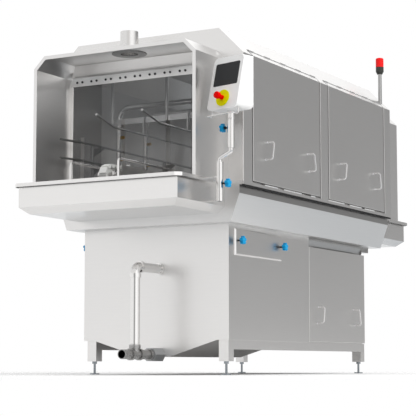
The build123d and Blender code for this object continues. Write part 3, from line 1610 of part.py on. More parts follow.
with BuildPart() as overflow_pipe:
    with BuildLine() as overflow_path:
        FilletPolyline(
            (overflow_x, tank_front, overflow_z), (overflow_x, elbow_y, overflow_z),
            (overflow_x, elbow_y, drain_z),
            radius=elbow_bend,
        )
    with BuildSketch(section(tank_front)):
        with Locations((overflow_x, overflow_z)):
            Circle(tube_radius)
    sweep(path=overflow_path.wires()[0])
    with BuildSketch(section(valve_end)):
        with Locations((overflow_x, drain_z)):
            Circle(tube_radius)
    extrude(amount=valve_end - outlet_y)
    # Socket collars of the fittings
    for station in (tank_front, elbow_y + elbow_bend + collar_length):
        with BuildSketch(section(station)):
            with Locations((overflow_x, overflow_z)):
                Circle(collar_radius)
        extrude(amount=collar_length)
    for station in (valve_end, elbow_y + collar_radius + collar_length, elbow_y - collar_radius):
        with BuildSketch(section(station)):
            with Locations((overflow_x, drain_z)):
                Circle(collar_radius)
        extrude(amount=collar_length)
    for height in (overflow_z - elbow_bend, drain_z + collar_radius + collar_length):
        with BuildSketch(Plane.XY.offset(height)):
            with Locations((overflow_x, elbow_y)):
                Circle(collar_radius)
        extrude(amount=-collar_length)
    with BuildSketch(section(outlet_y)):
        with Locations((overflow_x, drain_z)):
            Circle(tube_bore)
    extrude(amount=-outlet_bore_depth, mode=Mode.SUBTRACT)
overflow_pipe.part.label = "overflow_pipe"
export_step(overflow_pipe.part, "parts/overflow_pipe.step")
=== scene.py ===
import math

import bmesh
import bpy
from bpy.props import FloatProperty, FloatVectorProperty, IntProperty, PointerProperty
from mathutils import Matrix, Vector


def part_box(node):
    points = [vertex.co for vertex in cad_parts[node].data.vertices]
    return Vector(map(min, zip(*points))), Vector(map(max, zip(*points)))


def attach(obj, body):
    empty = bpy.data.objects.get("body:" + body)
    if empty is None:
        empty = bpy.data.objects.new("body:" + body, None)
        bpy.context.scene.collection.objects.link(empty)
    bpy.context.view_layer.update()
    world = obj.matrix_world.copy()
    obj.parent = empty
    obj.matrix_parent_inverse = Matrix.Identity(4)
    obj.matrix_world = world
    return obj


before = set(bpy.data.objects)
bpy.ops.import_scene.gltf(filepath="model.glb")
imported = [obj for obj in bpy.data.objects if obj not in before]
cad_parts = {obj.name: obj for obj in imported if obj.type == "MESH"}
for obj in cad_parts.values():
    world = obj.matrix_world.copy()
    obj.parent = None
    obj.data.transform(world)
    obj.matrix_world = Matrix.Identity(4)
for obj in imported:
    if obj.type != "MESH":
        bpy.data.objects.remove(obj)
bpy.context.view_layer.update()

bl_info = {
    "name": "Crate tunnel washer",
    "version": (1, 0, 0),
    "blender": (4, 5, 0),
    "location": "View3D > Sidebar > Washer",
    "description": "Finishes, fittings and stage of a crate tunnel washer",
    "category": "Object",
}

# CAD nodes that share a finish.
SHEET_NODES = (
    "tunnel_left_wall", "tunnel_roof", "side_posts", "front_door", "rear_door", "wash_tank",
    "stand", "service_panel", "right_filter_drawer", "left_filter_drawer", "chain_trough",
    "curtain_rails",
)
END_NODES = ("tunnel_front_wall", "tunnel_rear_wall", "infeed_tray", "outfeed_tray")
HOOD_NODES = ("infeed_hood", "outfeed_hood")
TUBE_NODES = (
    "hinge_rods", "post_socket", "crank", "head_sleeve", "crate_rails", "run_bars",
    "idler_shaft", "drive_shaft", "spray_pipework",
)
ROD_NODES = ("crate_guides", "hold_down", "beacon_pole")
KNOB_NODES = (
    "right_front_filter_knob", "right_rear_filter_knob", "left_front_filter_knob", "left_rear_filter_knob",
    "post_knob", "head_knob",
)
STRIP_NODES = ("infeed_curtain_centre", "outfeed_curtain")
CHAIN_NODES = ("conveyor_chain", "idler_sprocket", "drive_sprocket")

# Each set of bow handles, with the body that carries it.
BOW_BODIES = {
    "front_door_bows": "front_door",
    "rear_door_bows": "rear_door",
    "service_panel_bows": "service_panel",
}

# Patterns of the finishes: waves in a metre along X, Y and Z.
LEVEL_GRAIN = (6.0, 6.0, 620.0)
FINE_GRAIN = (60.0, 60.0, 2400.0)
SMEARS = (1.7, 1.7, 1.1)
HANDLING_MARKS = (35.0, 35.0, 35.0)
TUBE_CLOUD = (6.0, 6.0, 6.0)
PLASTIC_MOTTLE = (40.0, 40.0, 40.0)
PLASTIC_PEBBLE = (900.0, 900.0, 900.0)
ORANGE_PEEL = (260.0, 260.0, 260.0)
COATING_CLOUD = (9.0, 9.0, 9.0)
DRAW_LINES = (420.0, 40.0, 3.0)
STRIP_WAVES = (7.0, 7.0, 2.0)
CASTING_SAND = (300.0, 300.0, 300.0)
CASTING_CLOUD = (14.0, 14.0, 14.0)
TURNING_RINGS = (50.0, 50.0, 700.0)
LENS_RINGS = (0.5, 0.5, 160.0)
FLOOR_CLOUD = (0.8, 0.8, 0.8)

# What a pattern or a dull part adds to the roughness where it is strongest.
GRAIN_ROUGHNESS = 0.07
SMEAR_ROUGHNESS = 0.05
MARKS_ROUGHNESS = 0.08
FLANGE_ROUGHNESS = 0.2
FITTING_ROUGHNESS = 0.14
MOTTLE_ROUGHNESS = 0.08
COATING_ROUGHNESS = 0.06
STRIP_ROUGHNESS = 0.08
SAND_ROUGHNESS = 0.1
TURNING_ROUGHNESS = 0.12
LENS_ROUGHNESS = 0.08
FLOOR_ROUGHNESS = 0.1

# What is taken off a sheet's roughness first, so that its average stays near the one given.
SHEET_POLISH = 0.05
BAND_POLISH = 0.03

# How much the draw lines change a strip's opacity.
LINE_OPACITY = 0.08

# Shades of a colour, as shares of it. The end and hood shares are painted light and the band share is
# painted shade; the others are the colour's own tones.
GRAIN_SHADES = (0.96, 1.04)
MOTTLE_SHADES = (0.93, 1.05)
END_PAINTED_LIGHT = 1.06
HOOD_PAINTED_LIGHT = 1.05
# Painted shade: share of the steel's colour in the band under an overhang.
BAND_PAINTED_SHADE = 0.55
FITTING_SHADE = 0.45
SIDE_STRIP_SHADE = 0.4

# The drain's open bore, darkened as painted shade, and the studs of the knobs.
BORE_PAINTED_SHADE = (0.012, 0.012, 0.012)
STUD_BLACK = (0.012, 0.013, 0.015)

# Lengths in metres over which one finish turns into another, and the share of the drain's bore that is
# fully darkened by painted shade.
SHARP_EDGE = 0.0005
FLANGE_EDGE = 0.001
FITTING_EDGE = 0.008
BORE_CORE = 0.96

# Sockets of a Mix node that blends colours.
MIX_FACTOR = 0
MIX_FIRST = 6
MIX_SECOND = 7
MIX_RESULT = 2

# How a new piece's mesh is closed and smoothed.
MERGE_DISTANCE = 0.00001
SMOOTH_ANGLE = math.radians(35.0)

# Button head: rounding and socket depth are shares of its height, the rim is a share of its radius.
HEAD_SIDES = 18
HEAD_ROUNDING = 0.6
HEAD_RIM = 0.12
SOCKET_DEPTH = 0.45

# Weld at the foot of a rod: its radii at the foot and at the neck are shares of the rod's radius.
WELD_SIDES = 20
WELD_FOOT = 1.45
WELD_NECK = 1.02

# A bow's foot: how far the points of its end face lie from the sheet, and its reach in radii of the bow.
FOOT_DEPTH = 0.0001
FOOT_REACH = 4

# A star knob's lobes lie beyond this share of the knob's width from its axis.
LOBE_SHARE = 0.35

# The floor is whole up to the first share of its half width and gone at the second.
FLOOR_FADE = (0.35, 0.75)
FLOOR_TONES = (0.80, 0.83)
FLOOR_DULLNESS = 0.6

# Camera: the width of its sensor in millimetres, and how far it sees in metres.
SENSOR_WIDTH = 36.0
CAMERA_REACH = 500.0

UP = (0.0, 0.0, 1.0)


class Value:
    """A shader socket that takes part in Python expressions; each operator adds a Math node."""

    def __init__(self, net, socket):
        self.net = net
        self.socket = socket

    def math(self, operation, first, second):
        """Adds a Math node on two values or numbers."""
        return self.net.node("ShaderNodeMath", {"operation": operation}, {0: first, 1: second})

    def __add__(self, other):
        return self.math("ADD", self, other)

    def __radd__(self, other):
        return self.math("ADD", other, self)

    def __sub__(self, other):
        return self.math("SUBTRACT", self, other)

    def __rsub__(self, other):
        return self.math("SUBTRACT", other, self)

    def __mul__(self, other):
        return self.math("MULTIPLY", self, other)

    def __rmul__(self, other):
        return self.math("MULTIPLY", other, self)


class Net:
    """A node tree that is filled by expressions."""

    def __init__(self, tree):
        self.tree = tree
        tree.nodes.clear()

    def node(self, kind, settings=None, sockets=None, output=0):
        """Adds a node with its settings and socket values; returns one of its outputs, if it has any."""
        made = self.tree.nodes.new(kind)
        for name, value in (settings or {}).items():
            setattr(made, name, value)
        for key, value in (sockets or {}).items():
            if isinstance(value, Value):
                self.tree.links.new(value.socket, made.inputs[key])
            else:
                made.inputs[key].default_value = value
        return Value(self, made.outputs[output]) if made.outputs else None

    def coordinates(self):
        """Place on the object, in metres."""
        return self.node("ShaderNodeTexCoord", output="Object")

    def axes(self):
        """X, Y and Z of the place on the object."""
        place = self.coordinates()
        return [self.node("ShaderNodeSeparateXYZ", {}, {0: place}, output=axis) for axis in "XYZ"]

    def rise(self, value, start, end):
        """Smooth step that is 0 at start and 1 at end."""
        return self.node(
            "ShaderNodeMapRange", {"interpolation_type": "SMOOTHSTEP"},
            {"Value": value, "From Min": start, "From Max": end, "To Min": 0.0, "To Max": 1.0},
        )

    def dot(self, vector, direction):
        """How far a vector points along a direction."""
        return self.node(
            "ShaderNodeVectorMath", {"operation": "DOT_PRODUCT"}, {0: vector, 1: direction}, output="Value",
        )

    def noise(self, scale, detail=2.0):
        """Noise between 0 and 1 with its own scale along each axis."""
        place = self.node(
            "ShaderNodeMapping", {"vector_type": "POINT"}, {"Vector": self.coordinates(), "Scale": scale},
        )
        return self.node(
            "ShaderNodeTexNoise", {"noise_dimensions": "3D"},
            {"Vector": place, "Scale": 1.0, "Detail": detail},
        )

    def blend(self, factor, first, second):
        """Colour between first and second, each a value or three channels."""
        first, second = [end if isinstance(end, Value) else (*end, 1.0) for end in (first, second)]
        return self.node(
            "ShaderNodeMix", {"data_type": "RGBA"},
            {MIX_FACTOR: factor, MIX_FIRST: first, MIX_SECOND: second}, output=MIX_RESULT,
        )

    def vary(self, mask, colour, darkest, lightest):
        """Colour that wanders between two shades of itself."""
        return self.blend(mask, shade(colour, darkest), shade(colour, lightest))

    def bump(self, height, strength, distance):
        """Normal of a surface that rises and falls with a height."""
        return self.node(
            "ShaderNodeBump", {}, {"Height": height, "Strength": strength, "Distance": distance},
        )

    def surface(self, **sockets):
        """Principled surface; underscores in the names stand for spaces."""
        named = {key.replace("_", " "): value for key, value in sockets.items()}
        shader = self.node("ShaderNodeBsdfPrincipled", {}, named)
        self.node("ShaderNodeOutputMaterial", {}, {"Surface": shader})


def shade(colour, share):
    """Colour made lighter or darker."""
    return tuple(min(1.0, channel * share) for channel in colour)


def grey(tone):
    """Grey of a tone, which may be brighter than white."""
    return (tone, tone, tone)


def material(name):
    """New material, with the net that fills it."""
    made = bpy.data.materials.new(name)
    made.use_nodes = True
    return made, Net(made.node_tree)


def brushed_sheet(name, colour, roughness):
    """Stainless sheet with a fine level grain and faint smears."""
    made, net = material(name)
    grain = net.noise(LEVEL_GRAIN, detail=3.0)
    fine = net.noise(FINE_GRAIN, detail=1.0)
    smears = net.noise(SMEARS)
    net.surface(
        Base_Color=net.vary(grain, colour, *GRAIN_SHADES),
        Metallic=1.0,
        Roughness=roughness - SHEET_POLISH + grain * GRAIN_ROUGHNESS + smears * SMEAR_ROUGHNESS,
        Normal=net.bump(fine + grain, strength=0.05, distance=0.0004),
    )
    return made


def painted_shade_sheet(name, colour, roughness, band, end, left):
    """Brushed sheet with painted shade: darker between the two heights of a band, as in the shade under an
    overhang.

    Its ends, at a distance end from the middle, stay bright, and so does its left side if left is false.
    """
    made, net = material(name)
    grain = net.noise(LEVEL_GRAIN, detail=3.0)
    across, along, height = net.axes()
    from_middle = net.node("ShaderNodeMath", {"operation": "ABSOLUTE"}, {0: along})
    low, high = band
    # Painted shade: the sheet is darker between the band's heights and short of its ends, standing in for
    # the shade under the lip or skirt above it.
    darkened = net.rise(height, low, low + SHARP_EDGE) * net.rise(height, high, high - SHARP_EDGE)
    darkened = darkened * net.rise(from_middle, end, end - SHARP_EDGE)
    if not left:
        darkened = darkened * net.rise(across, -SHARP_EDGE, SHARP_EDGE)
    sheet = net.vary(grain, colour, *GRAIN_SHADES)
    net.surface(
        Base_Color=net.blend(darkened, sheet, shade(colour, BAND_PAINTED_SHADE)),
        Metallic=1.0,
        Roughness=roughness - BAND_POLISH + grain * GRAIN_ROUGHNESS,
        Normal=net.bump(grain, strength=0.05, distance=0.0004),
    )
    return made


def polished(net, base, roughness):
    """Surface of polished metal with faint handling marks."""
    marks = net.noise(HANDLING_MARKS, detail=3.0)
    net.surface(
        Base_Color=base,
        Metallic=1.0,
        Roughness=roughness + marks * MARKS_ROUGHNESS,
        Normal=net.bump(marks, strength=0.04, distance=0.0003),
    )


def drawn_tube(name, colour, roughness):
    """Polished tube and turned bar, faintly clouded."""
    made, net = material(name)
    cloud = net.noise(TUBE_CLOUD)
    polished(net, net.vary(cloud, colour, darkest=0.95, lightest=1.05), roughness)
    return made


def exhaust_duct(name, colour, roughness, level):
    """Polished duct above a level, with a dull flange under the hood below it."""
    made, net = material(name)
    _, _, height = net.axes()
    flange = net.rise(height, level + FLANGE_EDGE, level - FLANGE_EDGE)
    base = net.blend(flange, colour, shade(colour, FITTING_SHADE))
    polished(net, base, roughness + flange * FLANGE_ROUGHNESS)
    return made


def drain_pipe(name, colour, roughness, fit):
    """Polished pipe whose fittings near the floor are dull, with painted shade darkening the bore at its
    open end.
    """
    made, net = material(name)
    across, _, height = net.axes()
    low = net.rise(height, fit.dull_level + FITTING_EDGE, fit.dull_level - FITTING_EDGE)
    aside = across - fit.drain_axis[0]
    above = height - fit.drain_axis[1]
    # Painted shade: the open bore darkens towards its middle, standing in for the unlit inside of the pipe.
    bore = net.rise(aside * aside + above * above, fit.drain_bore ** 2, (BORE_CORE * fit.drain_bore) ** 2)
    fittings = net.blend(low, colour, shade(colour, FITTING_SHADE))
    polished(net, net.blend(bore, fittings, BORE_PAINTED_SHADE), roughness + low * FITTING_ROUGHNESS)
    return made


def pebbled(net, base, mottle, roughness, gloss):
    """Surface of moulded plastic with a fine pebbled skin."""
    pebble = net.noise(PLASTIC_PEBBLE, detail=1.0)
    net.surface(
        Base_Color=base,
        Roughness=roughness + mottle * MOTTLE_ROUGHNESS,
        Specular_IOR_Level=gloss,
        Normal=net.bump(pebble, strength=0.06, distance=0.0002),
    )


def moulded(name, colour, roughness, gloss=0.5):
    """Moulded plastic, faintly mottled."""
    made, net = material(name)
    mottle = net.noise(PLASTIC_MOTTLE)
    pebbled(net, net.vary(mottle, colour, *MOTTLE_SHADES), mottle, roughness, gloss)
    return made


def star_knob(name, colour, roughness, gloss, head):
    """Moulded star on a dark stud; head is the X range of the star."""
    made, net = material(name)
    across, _, _ = net.axes()
    mottle = net.noise(PLASTIC_MOTTLE)
    star = net.vary(mottle, colour, *MOTTLE_SHADES)
    low, high = head
    stud = net.rise(across, low, low - SHARP_EDGE) + net.rise(across, high, high + SHARP_EDGE)
    pebbled(net, net.blend(stud, star, STUD_BLACK), mottle, roughness, gloss)
    return made


def coated(name, colour, roughness):
    """Sprayed coating with a light orange peel."""
    made, net = material(name)
    peel = net.noise(ORANGE_PEEL, detail=1.0)
    cloud = net.noise(COATING_CLOUD)
    net.surface(
        Base_Color=net.vary(cloud, colour, darkest=0.97, lightest=1.02),
        Roughness=roughness + cloud * COATING_ROUGHNESS,
        Coat_Weight=0.3,
        Normal=net.bump(peel, strength=0.05, distance=0.0002),
    )
    return made


def clear_strip(name, colour, roughness, opacity):
    """Smoky clear strip with faint vertical draw lines."""
    made, net = material(name)
    lines = net.noise(DRAW_LINES)
    waves = net.noise(STRIP_WAVES)
    net.surface(
        Base_Color=net.vary(lines, colour, darkest=0.9, lightest=1.1),
        Roughness=roughness + waves * STRIP_ROUGHNESS,
        Alpha=opacity - LINE_OPACITY / 2 + lines * LINE_OPACITY,
        Normal=net.bump(waves, strength=0.15, distance=0.004),
    )
    return made


def cast_metal(name, colour, roughness):
    """Painted casting with a coarse skin."""
    made, net = material(name)
    sand = net.noise(CASTING_SAND, detail=3.0)
    cloud = net.noise(CASTING_CLOUD)
    net.surface(
        Base_Color=net.vary(cloud, colour, darkest=0.9, lightest=1.1),
        Metallic=0.2,
        Roughness=roughness + sand * SAND_ROUGHNESS,
        Normal=net.bump(sand, strength=0.2, distance=0.0006),
    )
    return made


def turned_brass(name, colour, roughness):
    """Brass with fine rings from turning."""
    made, net = material(name)
    rings = net.noise(TURNING_RINGS)
    net.surface(
        Base_Color=net.vary(rings, colour, darkest=0.85, lightest=1.1),
        Metallic=1.0,
        Roughness=roughness + rings * TURNING_ROUGHNESS,
        Normal=net.bump(rings, strength=0.05, distance=0.0003),
    )
    return made


def beacon_lens(name, colour, roughness):
    """Tinted lens with faint moulded rings."""
    made, net = material(name)
    rings = net.noise(LENS_RINGS, detail=0.0)
    net.surface(
        Base_Color=net.vary(rings, colour, darkest=0.94, lightest=1.04),
        Roughness=roughness + rings * LENS_ROUGHNESS,
        Specular_IOR_Level=0.25,
        Normal=net.bump(rings, strength=0.08, distance=0.0006),
    )
    return made


def dress(finish, *names):
    """Gives CAD nodes a finish."""
    for name in names:
        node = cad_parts[name]
        if not node.material_slots:
            node.data.materials.append(finish)
        for slot in node.material_slots:
            slot.material = finish


def mesh_object(name, shape, finish):
    """Object at the origin, made from a bmesh."""
    mesh = bpy.data.meshes.new(name)
    shape.to_mesh(mesh)
    shape.free()
    mesh.materials.append(finish)
    made = bpy.data.objects.new(name, mesh)
    bpy.context.scene.collection.objects.link(made)
    return made


def piece(name, shape, finish, body):
    """Closes and smooths a bmesh and makes it an object that rides a body."""
    bmesh.ops.remove_doubles(shape, verts=shape.verts, dist=MERGE_DISTANCE)
    bmesh.ops.recalc_face_normals(shape, faces=shape.faces)
    made = mesh_object(name, shape, finish)
    made.data.shade_smooth()
    made.data.set_sharp_from_angle(angle=SMOOTH_ANGLE)
    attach(made, body)


def standing(point, direction, height):
    """Matrix that stands a shape, made along Z with its middle at the origin, on a point."""
    turn = Vector(UP).rotation_difference(Vector(direction))
    return Matrix.Translation(point) @ turn.to_matrix().to_4x4() @ Matrix.Translation((0, 0, height / 2))


def button_head(shape, point, direction, radius, height):
    """Head of a screw: a rounded drum with a round socket, standing on its point."""
    axis = Vector(direction)

    def level(face):
        """How far a face lies along the screw's axis."""
        return face.calc_center_median() @ axis

    start = len(shape.verts)
    drum = bmesh.ops.create_cone(
        shape, cap_ends=True, segments=HEAD_SIDES, radius1=radius, radius2=radius, depth=height,
        matrix=standing(point, direction, height),
    )
    top = max((face for vertex in drum["verts"] for face in vertex.link_faces), key=level)
    bmesh.ops.bevel(
        shape, geom=list(top.edges), offset=height * HEAD_ROUNDING, segments=3, profile=0.5,
        affect="EDGES", material=-1,
    )
    shape.verts.ensure_lookup_table()
    head = set(shape.verts[start:])
    top = max((face for face in shape.faces if set(face.verts) <= head), key=level)
    bmesh.ops.inset_region(shape, faces=[top], thickness=radius * HEAD_RIM, use_even_offset=True)
    socket = bmesh.ops.extrude_discrete_faces(shape, faces=[top])["faces"][0]
    bmesh.ops.translate(shape, verts=socket.verts, vec=-axis * height * SOCKET_DEPTH)


def weld_collar(shape, point, direction, radius, height):
    """Fillet of weld round the foot of a rod."""
    bmesh.ops.create_cone(
        shape, cap_ends=True, segments=WELD_SIDES, radius1=radius * WELD_FOOT, radius2=radius * WELD_NECK,
        depth=height, matrix=standing(point, direction, height),
    )


class WasherFinish(bpy.types.PropertyGroup):
    """Colours, gloss, opacity and the heights of the painted shade bands of the finishes."""

    steel: FloatVectorProperty(
        name="Steel", description="Colour of the stainless sheet", subtype="COLOR",
        default=(0.752, 0.742, 0.732), min=0, max=1,
    )
    sheet_roughness: FloatProperty(
        name="Sheet roughness", description="Roughness of the brushed sheet", default=0.30, min=0, max=1,
    )
    end_roughness: FloatProperty(
        name="End roughness", description="Roughness of the end walls, trays and exhaust duct",
        default=0.24, min=0, max=1,
    )
    hood_roughness: FloatProperty(
        name="Hood roughness", description="Roughness of the hoods", default=0.32, min=0, max=1,
    )
    # Painted shade: heights of the darker strip on the tunnel base, in the shade under its lip.
    band: FloatVectorProperty(
        name="Painted shade band", description="Heights between which the tunnel base is dull", size=2,
        default=(1.008, 1.057), unit="LENGTH",
    )
    # Painted shade: heights of the darker strip on the cabinet's channel, in the shade under the skirt.
    channel: FloatVectorProperty(
        name="Painted shade channel", description="Heights between which the channel over the service panel is dull",
        size=2, default=(0.78, 0.852), unit="LENGTH",
    )
    tube_roughness: FloatProperty(
        name="Tube roughness", description="Roughness of tubes and shafts", default=0.11, min=0, max=1,
    )
    pipe_roughness: FloatProperty(
        name="Pipe roughness", description="Roughness of the overflow pipe", default=0.1, min=0, max=1,
    )
    rod: FloatVectorProperty(
        name="Rod", description="Colour of the guide rods", subtype="COLOR",
        default=(0.43, 0.427, 0.423), min=0, max=1,
    )
    bow: FloatVectorProperty(
        name="Bow", description="Colour of the bow handles", subtype="COLOR",
        default=(0.68, 0.675, 0.67), min=0, max=1,
    )
    zinc: FloatVectorProperty(
        name="Zinc", description="Colour of the levelling feet", subtype="COLOR",
        default=(0.26, 0.28, 0.30), min=0, max=1,
    )
    control_box: FloatVectorProperty(
        name="Control box", description="Colour of the control box", subtype="COLOR",
        default=(0.97, 0.97, 0.965), min=0, max=1,
    )
    screen: FloatVectorProperty(
        name="Screen", description="Colour of the blank screen", subtype="COLOR",
        default=(0.035, 0.036, 0.038), min=0, max=1,
    )
    stop: FloatVectorProperty(
        name="Stop button", description="Colour of the stop button", subtype="COLOR",
        default=(0.88, 0.0, 0.0), min=0, max=1,
    )
    stop_disc: FloatVectorProperty(
        name="Stop disc", description="Colour of the disc under the stop button", subtype="COLOR",
        default=(0.86, 0.87, 0.0), min=0, max=1,
    )
    knob: FloatVectorProperty(
        name="Knob", description="Colour of the star knobs", subtype="COLOR",
        default=(0.004, 0.34, 0.68), min=0, max=1,
    )
    beacon: FloatVectorProperty(
        name="Beacon", description="Colour of the beacon lens", subtype="COLOR",
        default=(1.0, 0.014, 0.014), min=0, max=1,
    )
    beacon_base: FloatVectorProperty(
        name="Beacon base", description="Colour of the beacon's base", subtype="COLOR",
        default=(0.035, 0.036, 0.03), min=0, max=1,
    )
    chain: FloatVectorProperty(
        name="Chain", description="Colour of the chain and its wheels", subtype="COLOR",
        default=(0.80, 0.80, 0.78), min=0, max=1,
    )
    pump: FloatVectorProperty(
        name="Pump", description="Colour of the wash pump", subtype="COLOR",
        default=(0.16, 0.20, 0.26), min=0, max=1,
    )
    motor: FloatVectorProperty(
        name="Motor", description="Colour of the gearmotor", subtype="COLOR",
        default=(0.30, 0.31, 0.33), min=0, max=1,
    )
    valve: FloatVectorProperty(
        name="Valve", description="Colour of the drain valve", subtype="COLOR",
        default=(0.42, 0.43, 0.44), min=0, max=1,
    )
    brass: FloatVectorProperty(
        name="Brass", description="Colour of the spray nozzles", subtype="COLOR",
        default=(0.72, 0.48, 0.16), min=0, max=1,
    )
    strip: FloatVectorProperty(
        name="Strip", description="Tint of the curtain strips", subtype="COLOR",
        default=(0.30, 0.31, 0.32), min=0, max=1,
    )
    strip_opacity: FloatProperty(
        name="Strip opacity", description="How much a strip hides", default=0.16, min=0, max=1,
    )
    side_opacity: FloatProperty(
        name="Side opacity", description="How much a lapped side strip hides", default=0.28, min=0, max=1,
    )
    bolt: FloatVectorProperty(
        name="Bolt", description="Colour of the curtain bolts", subtype="COLOR",
        default=(0.06, 0.06, 0.062), min=0, max=1,
    )
    weld: FloatVectorProperty(
        name="Weld", description="Colour of the welds at the handles", subtype="COLOR",
        default=(0.62, 0.62, 0.63), min=0, max=1,
    )
    # Painted shade: colour of the black strips under the lips, shaped as rubber seals.
    seal_shade: FloatVectorProperty(
        name="Seal", description="Colour of the seals under the lips", subtype="COLOR",
        default=(0.02, 0.02, 0.021), min=0, max=1,
    )


class WasherFittings(bpy.types.PropertyGroup):
    """Sizes of the small fittings."""

    bolt_radius: FloatProperty(
        name="Bolt radius", description="Head radius of the curtain bolts", default=0.0072, unit="LENGTH",
    )
    bolt_height: FloatProperty(
        name="Bolt height", description="Head height of the curtain bolts", default=0.005, unit="LENGTH",
    )
    bolt_z: FloatProperty(
        name="Bolt level", description="Height of the curtain bolts above the floor",
        default=1.731, unit="LENGTH",
    )
    bolt_pair: FloatProperty(
        name="Bolt pair", description="Distance between the two bolts of a strip",
        default=0.037, unit="LENGTH",
    )
    strip_pitch: FloatProperty(
        name="Strip pitch", description="Distance between strips", default=0.1016, unit="LENGTH",
    )
    strips: IntProperty(name="Strips", description="Strips in a curtain", default=10, min=1)
    bow_radius: FloatProperty(
        name="Bow radius", description="Radius of the bow handles", default=0.0055, unit="LENGTH",
    )
    collar_height: FloatProperty(
        name="Collar height", description="Height of the weld at a handle's foot",
        default=0.004, unit="LENGTH",
    )
    dull_level: FloatProperty(
        name="Dull level", description="Height below which the drain fittings are dull",
        default=0.17, unit="LENGTH",
    )
    drain_axis: FloatVectorProperty(
        name="Drain axis", description="X and Z of the drain outlet", size=2, default=(0.036, 0.115),
        unit="LENGTH",
    )
    drain_bore: FloatProperty(
        name="Drain bore", description="Radius of the open drain end", default=0.0235, unit="LENGTH",
    )
    lip_height: FloatProperty(
        name="Lip height", description="Upright edge of the lip under the doors",
        default=0.017, unit="LENGTH",
    )
    # Sizes of the black strips under the lips, shaped as rubber seals, that stand in for the shade there.
    seal_height: FloatProperty(
        name="Seal height", description="Height of the seal under the lip", default=0.009, unit="LENGTH",
    )
    seal_width: FloatProperty(
        name="Seal width", description="Thickness of the seal under the lip", default=0.006, unit="LENGTH",
    )
    seal_inset: FloatProperty(
        name="Seal inset", description="Seal behind the lip's edge", default=0.004, unit="LENGTH",
    )


class WasherStage(bpy.types.PropertyGroup):
    """Camera, lights and floor."""

    lens: FloatProperty(
        name="Lens", description="Focal length", default=124.22, unit="CAMERA",
    )
    camera: FloatVectorProperty(
        name="Camera", description="Place of the camera", subtype="TRANSLATION",
        default=(4.36646, -8.04810, 0.05637), unit="LENGTH",
    )
    turn: FloatProperty(
        name="Turn", description="Camera's turn about the vertical",
        default=math.radians(29.55), unit="ROTATION",
    )
    lift: FloatProperty(
        name="Lift", description="Camera's look upwards", default=math.radians(6.24), unit="ROTATION",
    )
    key: FloatProperty(
        name="Key light", description="Power of the large soft light", default=330.0, min=0,
    )
    inner: FloatProperty(
        name="Inner light", description="Power of the light in the tunnel", default=1.2, min=0,
    )
    hood: FloatProperty(
        name="Hood light", description="Power of the light in the hood", default=0.09, min=0,
    )
    baffle: FloatProperty(
        name="Baffle light", description="Power of the light under the baffle", default=0.2, min=0,
    )
    floor: FloatProperty(
        name="Floor", description="Half width of the floor", default=5.0, unit="LENGTH",
    )


class WASHER_OT_sheets(bpy.types.Operator):
    """Brushed stainless finish on every folded panel, with painted light on the end walls, trays and hoods
    and painted shade in bands on the base and cabinet
    """

    bl_idname = "washer.sheets"
    bl_label = "Sheet metal"

    def execute(self, context):
        look = context.scene.washer_finish
        # Painted light: the end walls, trays and hoods get a lighter copy of the steel, which brightens
        # their dim reflections.
        for name, nodes, share, roughness in (
            ("stainless_sheet", SHEET_NODES, 1.0, look.sheet_roughness),
            ("stainless_end_sheet_painted_light", END_NODES, END_PAINTED_LIGHT, look.end_roughness),
            ("stainless_hood_sheet_painted_light", HOOD_NODES, HOOD_PAINTED_LIGHT, look.hood_roughness),
        ):
            dress(brushed_sheet(name, shade(look.steel, share), roughness), *nodes)
        # Painted shade: the tunnel base and the cabinet are darker in a band under an overhang.
        for name, node, band, left in (
            ("stainless_base_sheet_painted_shade", "tunnel_base", look.band, True),
            ("stainless_cabinet_sheet_painted_shade", "machine_cabinet", look.channel, False),
        ):
            _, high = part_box(node)
            dress(painted_shade_sheet(name, look.steel, look.sheet_roughness, band, high[1], left), node)
        return {"FINISHED"}


class WASHER_OT_tubes(bpy.types.Operator):
    """Polished finish on tubes, rods, bars and feet"""

    bl_idname = "washer.tubes"
    bl_label = "Tubes and rods"

    def execute(self, context):
        look = context.scene.washer_finish
        fit = context.scene.washer_fittings
        _, hood_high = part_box("infeed_hood")
        dress(drawn_tube("stainless_tube", look.steel, look.tube_roughness), *TUBE_NODES)
        dress(drain_pipe("stainless_pipe", look.steel, look.pipe_roughness, fit), "overflow_pipe")
        dress(exhaust_duct("duct_steel", look.steel, look.end_roughness, hood_high[2]), "exhaust_spigot")
        dress(drawn_tube("rod_steel", look.rod, roughness=0.3), *ROD_NODES)
        dress(drawn_tube("bow_steel", look.bow, roughness=0.3), *BOW_BODIES)
        dress(drawn_tube("zinc_feet", look.zinc, roughness=0.16), "levelling_feet")
        return {"FINISHED"}


class WASHER_OT_controls(bpy.types.Operator):
    """Control box, screen, stop button, knobs and beacon"""

    bl_idname = "washer.controls"
    bl_label = "Controls"

    def execute(self, context):
        look = context.scene.washer_finish
        dress(coated("white_coating", look.control_box, roughness=0.3), "control_box")
        dress(moulded("display_glass", look.screen, roughness=0.4, gloss=0.15), "screen")
        dress(moulded("stop_disc", look.stop_disc, roughness=0.4, gloss=0.05), "stop_collar")
        dress(moulded("stop_red", look.stop, roughness=0.35, gloss=0.05), "stop_button")
        for knob in KNOB_NODES:
            blue = star_knob(knob + "_blue", look.knob, roughness=0.34, gloss=0.25, head=self.star(knob))
            dress(blue, knob)
        dress(beacon_lens("beacon_red", look.beacon, roughness=0.26), "beacon_lens")
        dress(moulded("beacon_black", look.beacon_base, roughness=0.45), "beacon_base")
        return {"FINISHED"}

    @staticmethod
    def star(knob):
        """X range of the widest part of a knob."""
        low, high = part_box(knob)
        middle = [(first + last) / 2 for first, last in zip(low, high)]
        reach = LOBE_SHARE * (high[1] - low[1])
        lobes = [
            vertex.co.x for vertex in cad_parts[knob].data.vertices
            if math.hypot(vertex.co.y - middle[1], vertex.co.z - middle[2]) > reach
        ]
        return min(lobes), max(lobes)


